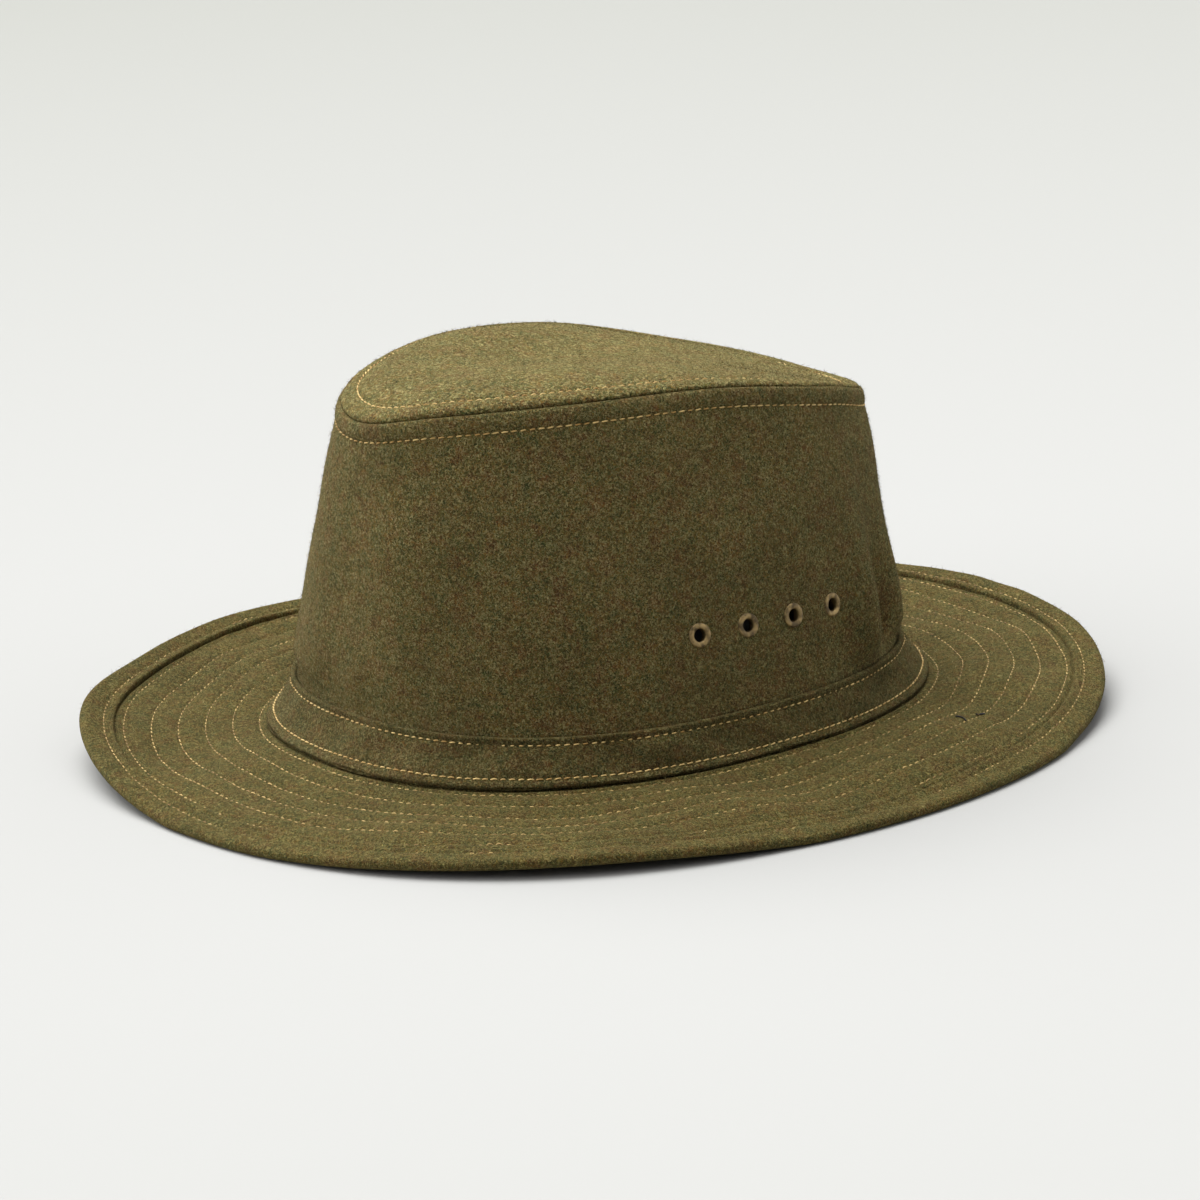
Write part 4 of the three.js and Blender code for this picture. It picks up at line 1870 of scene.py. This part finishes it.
@dataclass
class ThreadEnds:
    """Short dark thread ends that lie on the brim, near the join of its plies."""

    brim: Brim
    ends: tuple[ThreadEnd, ...] = (
        ThreadEnd(116.5, 1.4, 115.5, 1.49, 0.4), ThreadEnd(119.7, 1.46, 120.5, 1.5, -0.3),
        ThreadEnd(120.3, 1.475, 119.9, 1.51, 0.3),
    )
    radius: float = 0.26
    tip: float = 0.15
    taper: float = 4.0
    lie: float = 0.38
    steps: int = 14
    sides: int = 6

    def tube(self, end: ThreadEnd) -> tuple[Array, Array]:
        """Follows one thread end.

        Args:
            end: The thread end.

        Returns:
            The points and faces of its tube, with pointed tips.
        """
        along = np.linspace(0, 1, self.steps)
        angle = np.radians(end.angle + (end.last_angle - end.angle) * along
                           + end.bend * np.sin(math.pi * along))
        place = end.place + (end.last_place - end.place) * along
        normal = self.brim.form.normal(angle, place)
        middle = self.brim.outer(angle, place) + normal * self.lie
        tangent = np.gradient(middle, axis=0)
        tangent /= np.linalg.norm(tangent, axis=1, keepdims=True)
        side = np.cross(tangent, normal)
        turn = np.arange(self.sides) * TAU / self.sides
        thick = self.radius * np.clip(np.sin(math.pi * along) * self.taper, self.tip, 1)
        ring = (np.cos(turn)[None, :, None] * side[:, None]
                + np.sin(turn)[None, :, None] * np.cross(side, tangent)[:, None])
        points = middle[:, None] + ring * thick[:, None, None]
        here, beside = ring_faces(self.steps, self.sides)
        faces = np.stack([here[:-1], beside[:-1], beside[1:], here[1:]], -1)
        return points.reshape(-1, 3), faces.reshape(-1, 4)

    def build(self, thread: Material) -> Piece:
        """Builds the ends as one piece.

        Args:
            thread: The thread's finish.

        Returns:
            The piece.
        """
        points, faces = [], []
        for index, end in enumerate(self.ends):
            spots, sides = self.tube(end)
            first = index * len(spots)
            points.append(spots)
            faces += (sides + first).tolist()
            ring = list(range(first, first + self.sides))
            last = [first + len(spots) - self.sides + i for i in range(self.sides)]
            faces += [ring[::-1], last]
        mesh = plain_mesh("thread_ends", np.concatenate(points), faces)
        return finish_piece("brim_thread_ends", mesh, thread)


@dataclass
class Eyelets:
    """Rolled metal eyelets: a flange on each face of the cloth and a barrel between."""

    flange: float = 4.05
    back_flange: float = 3.4
    back_bevel: float = 0.15
    bore: float = 2.1
    metal: float = 0.4
    crest: float = 0.6
    seat: float = 0.12
    barrel_gap: float = 0.02
    sides: int = 40
    roll_steps: int = 10

    def profile(self, form: HatForm, lift: float) -> Array:
        """Gives the closed section of an eyelet.

        Args:
            form: The hat's form.
            lift: How far the finished wall stands out there.

        Returns:
            The section's points, as radius and height over the cloth's middle.
        """
        half = form.crown_cloth / 2
        turn = np.linspace(math.pi, 0, self.roll_steps)
        middle, reach = (self.bore + self.flange) / 2, (self.flange - self.bore) / 2
        face = half + lift + self.seat
        roll = np.stack([middle + reach * np.cos(turn), face + self.crest * np.sin(turn)], -1)
        barrel = self.bore + self.metal
        back = -half - form.clearance
        rest = [(barrel, face - self.barrel_gap), (barrel, back), (self.back_flange, back),
                (self.back_flange - self.back_bevel, back - self.metal),
                (self.bore, back - self.metal)]
        return np.concatenate([roll, rest])

    def ring(self, section: Array) -> tuple[Array, Array]:
        """Turns a section into a ring.

        Args:
            section: Radius and height of each of its points.

        Returns:
            The ring's points and faces.
        """
        turn = np.arange(self.sides) * TAU / self.sides
        points = np.stack([
            section[:, None, 0] * np.cos(turn), section[:, None, 0] * np.sin(turn),
            np.broadcast_to(section[:, None, 1], (len(section), self.sides))], -1)
        here, beside = ring_faces(len(section), self.sides)
        below = np.roll(here, -1, 0)
        faces = np.stack([here, below, np.roll(below, -1, 1), beside], -1)
        return points.reshape(-1, 3), faces.reshape(-1, 4)

    def build(self, side: CrownSide, metal: Material) -> None:
        """Builds each eyelet and lets it stand for its solid.

        Args:
            side: The wall that they sit in.
            metal: The eyelets' finish.
        """
        for index, (place, lift) in enumerate(zip(side.eyelet_places(), side.eyelet_lifts())):
            centre, direction = place
            flat, faces = self.ring(self.profile(side.form, lift))
            worn = "left" if index < side.eyelet_count else "right"
            node = f"eyelet_{worn}_{index % side.eyelet_count + 1}"
            turned = Vector(direction).to_track_quat("Z", "Y").to_matrix()
            points = flat @ np.array(turned).T + centre
            mesh = plain_mesh(node, points, faces.tolist())
            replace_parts(finish_piece(f"{node}_ring", mesh, metal), node)


@dataclass
class Studio:
    """Pale floor with painted shade far off, three broad soft lights and the photo's camera."""

    azimuth: float = 52.92
    elevation: float = 14.51
    distance: float = 1500.0
    roll: float = 2.62
    target_height: float = 69.9
    target_pixel: tuple[float, float] = (592.4, 521.6)
    focal_pixels: float = 4435.3
    sensor: float = 36.0
    clip: tuple[float, float] = (0.05, 100.0)
    floor_size: float = 24.0
    suns: tuple[SoftSun, ...] = (
        SoftSun("key_light", -99, 44, 3.8, 100), SoftSun("top_light", 203, 66, 4.1, 60),
        SoftSun("side_light", 93, 28, 1.25, 80),
    )
    fill: float = 0.08

    def build(self) -> None:
        """Builds the floor, the lights, the world and the camera."""
        self.floor()
        self.lights()
        self.camera()
        bpy.context.scene.view_settings.view_transform = "Standard"

    def floor(self) -> None:
        """Lays the floor."""
        half = self.floor_size / 2
        mesh = bpy.data.meshes.new("floor")
        mesh.from_pydata([(-half, -half, 0), (half, -half, 0), (half, half, 0),
                          (-half, half, 0)], [], [(0, 1, 2, 3)])
        mesh.materials.append(MattePaper("matte_paper").material())
        floor = bpy.data.objects.new("floor", mesh)
        bpy.context.scene.collection.objects.link(floor)

    def direction(self, azimuth: float, elevation: float) -> Vector:
        """Gives the direction from the hat towards two angles in degrees."""
        turn, rise = math.radians(azimuth), math.radians(elevation)
        return Vector((math.sin(turn) * math.cos(rise), -math.cos(turn) * math.cos(rise),
                       math.sin(rise)))

    def lights(self) -> None:
        """Sets the broad soft lights and a weak even fill."""
        for sun in self.suns:
            data = bpy.data.lights.new(sun.name, "SUN")
            data.energy = sun.power
            data.angle = math.radians(sun.spread)
            light = bpy.data.objects.new(sun.name, data)
            towards = self.direction(self.azimuth + sun.turn, sun.height)
            light.rotation_euler = towards.to_track_quat("Z", "Y").to_euler()
            bpy.context.scene.collection.objects.link(light)
        world = bpy.data.worlds.new("studio")
        world.use_nodes = True
        world.node_tree.nodes.clear()
        sky = add_node(world.node_tree, "ShaderNodeBackground", {
            "Color": (1.0, 1.0, 1.0, 1.0), "Strength": self.fill})
        add_node(world.node_tree, "ShaderNodeOutputWorld", {"Surface": sky.outputs[0]})
        bpy.context.scene.world = world

    def camera(self) -> None:
        """Sets the camera at the photo's angle, distance, frame and roll."""
        turn, roll = math.radians(self.azimuth), math.radians(self.roll)
        right = Vector((math.cos(turn), math.sin(turn), 0))
        back = self.direction(self.azimuth, self.elevation)
        up = back.cross(right)
        side = right * math.cos(roll) - up * math.sin(roll)
        top = up * math.cos(roll) + right * math.sin(roll)
        target = Vector((0, 0, self.target_height))
        place = target + back * self.distance
        off_centre = [pixel - PHOTO_PIXELS / 2 for pixel in self.target_pixel]
        per_pixel = self.distance / self.focal_pixels
        aim = target - side * off_centre[0] * per_pixel + top * off_centre[1] * per_pixel
        behind = (place - aim).normalized()
        side = (side - behind * side.dot(behind)).normalized()
        top = behind.cross(side)
        data = bpy.data.cameras.new("camera")
        data.lens = self.focal_pixels * self.sensor / PHOTO_PIXELS
        data.sensor_width = self.sensor
        data.clip_start, data.clip_end = self.clip
        camera = bpy.data.objects.new("camera", data)
        camera.matrix_world = Matrix((
            (side.x, top.x, behind.x, place.x * MM), (side.y, top.y, behind.y, place.y * MM),
            (side.z, top.z, behind.z, place.z * MM), (0, 0, 0, 1)))
        bpy.context.scene.collection.objects.link(camera)
        bpy.context.scene.camera = camera


def main() -> None:
    """Builds the studio, then the hat piece by piece."""
    logging.basicConfig(level=logging.INFO, format="%(name)s %(message)s")
    Studio().build()
    form = HatForm()
    crown_wool = MeltonWool("melton_wool_crown").material()
    # The top is seen at a flat angle, so its fibres are drawn a little coarser to show. Its higher
    # shade and its tint are painted light: a lighter copy of the same wool, as the top catches the
    # most light.
    top_wool_painted_light = MeltonWool("melton_wool_top_painted_light", shade=1.13, tint=(1.0, 1.01, 0.96),
                          sheen=0.32, coarse=1.25, soften=0.26).material()
    # The band's lower shade and its tint are painted shade: a darker copy of the same wool, where
    # the band lies in shade at the crown's foot.
    band_wool = MeltonWool("melton_wool_band_painted_shade", shade=0.68, tint=(1.0, 0.97, 0.92)).material()
    # The brim's lower shade and yellower tint are painted shade: a darker copy of the same wool,
    # where the crown shades the brim from the light behind it.
    brim_wool = MeltonWool("melton_wool_brim_painted_shade", shade=0.735, tint=(1.0, 0.965, 0.75)).material()
    thread = SewingThread("spun_thread").material()
    # The brim's thread is a darker copy of the same thread: painted shade, as the brim lies in the
    # crown's shade.
    fine_thread_painted_shade = SewingThread("spun_thread_fine_painted_shade", pale="#c8aa6a", deep="#7e6234").material()
    dark_thread = SewingThread("spun_thread_dark", pale="#2c2c26", deep="#141410").material()
    brass = AntiqueBrass("antique_brass").material()
    fibres = NapFibre("wool_fibre_ends").material()

    side = CrownSide(form, crown_wool)
    top = CrownTop(form, top_wool_painted_light)
    band = HatBand(form, band_wool)
    brim = Brim(form, brim_wool)
    binding = BrimBinding(form, brim_wool)
    cloths = {
        "crown_side": (side.build(), "crown_wool"),
        "crown_top": (top.build(), "crown_wool"),
        "hat_band": (band.build(), "band_wool"),
        "brim": (brim.build(), "brim_wool"),
        "brim_binding": (binding.build(), "brim_wool"),
    }
    Eyelets().build(side, brass)

    stitch = {"Pitch": 2.95 * MM, "Stitch Length": 2.2 * MM, "Thread Radius": 0.27 * MM,
              "Lift": 0.32 * MM, "Uneven": 0.12 * MM, "Slant": 0.1, "Seed": 11}
    fine = stitch | {"Stitch Length": 2.0 * MM, "Thread Radius": 0.24 * MM,
                     "Lift": 0.27 * MM, "Uneven": 0.22 * MM, "Seed": 12}
    crown_rows = side.stitch_rows() + top.stitch_rows()
    Topstitching("crown_topstitching", stitch | {"Seed": 13}).build(
        crown_rows, thread, "crown_wool")
    Topstitching("band_topstitching", stitch).build(band.stitch_rows(), thread, "band_wool")
    Topstitching("brim_quilting", fine).build(brim.stitch_rows(), fine_thread_painted_shade, "brim_wool")
    Topstitching("edge_topstitching", fine).build(
        binding.stitch_rows(), fine_thread_painted_shade, "brim_wool")
    ThreadEnds(brim).build(dark_thread)

    nap = {"Density": 0.36e6, "Fibre Length": 1.7 * MM, "Fibre Radius": 0.05 * MM, "Seed": 7}
    for name, (cloth, slot) in cloths.items():
        WoolNap(f"{name}_nap", nap).build(cloth, fibres, slot)


if __name__ == "__main__":
    main()
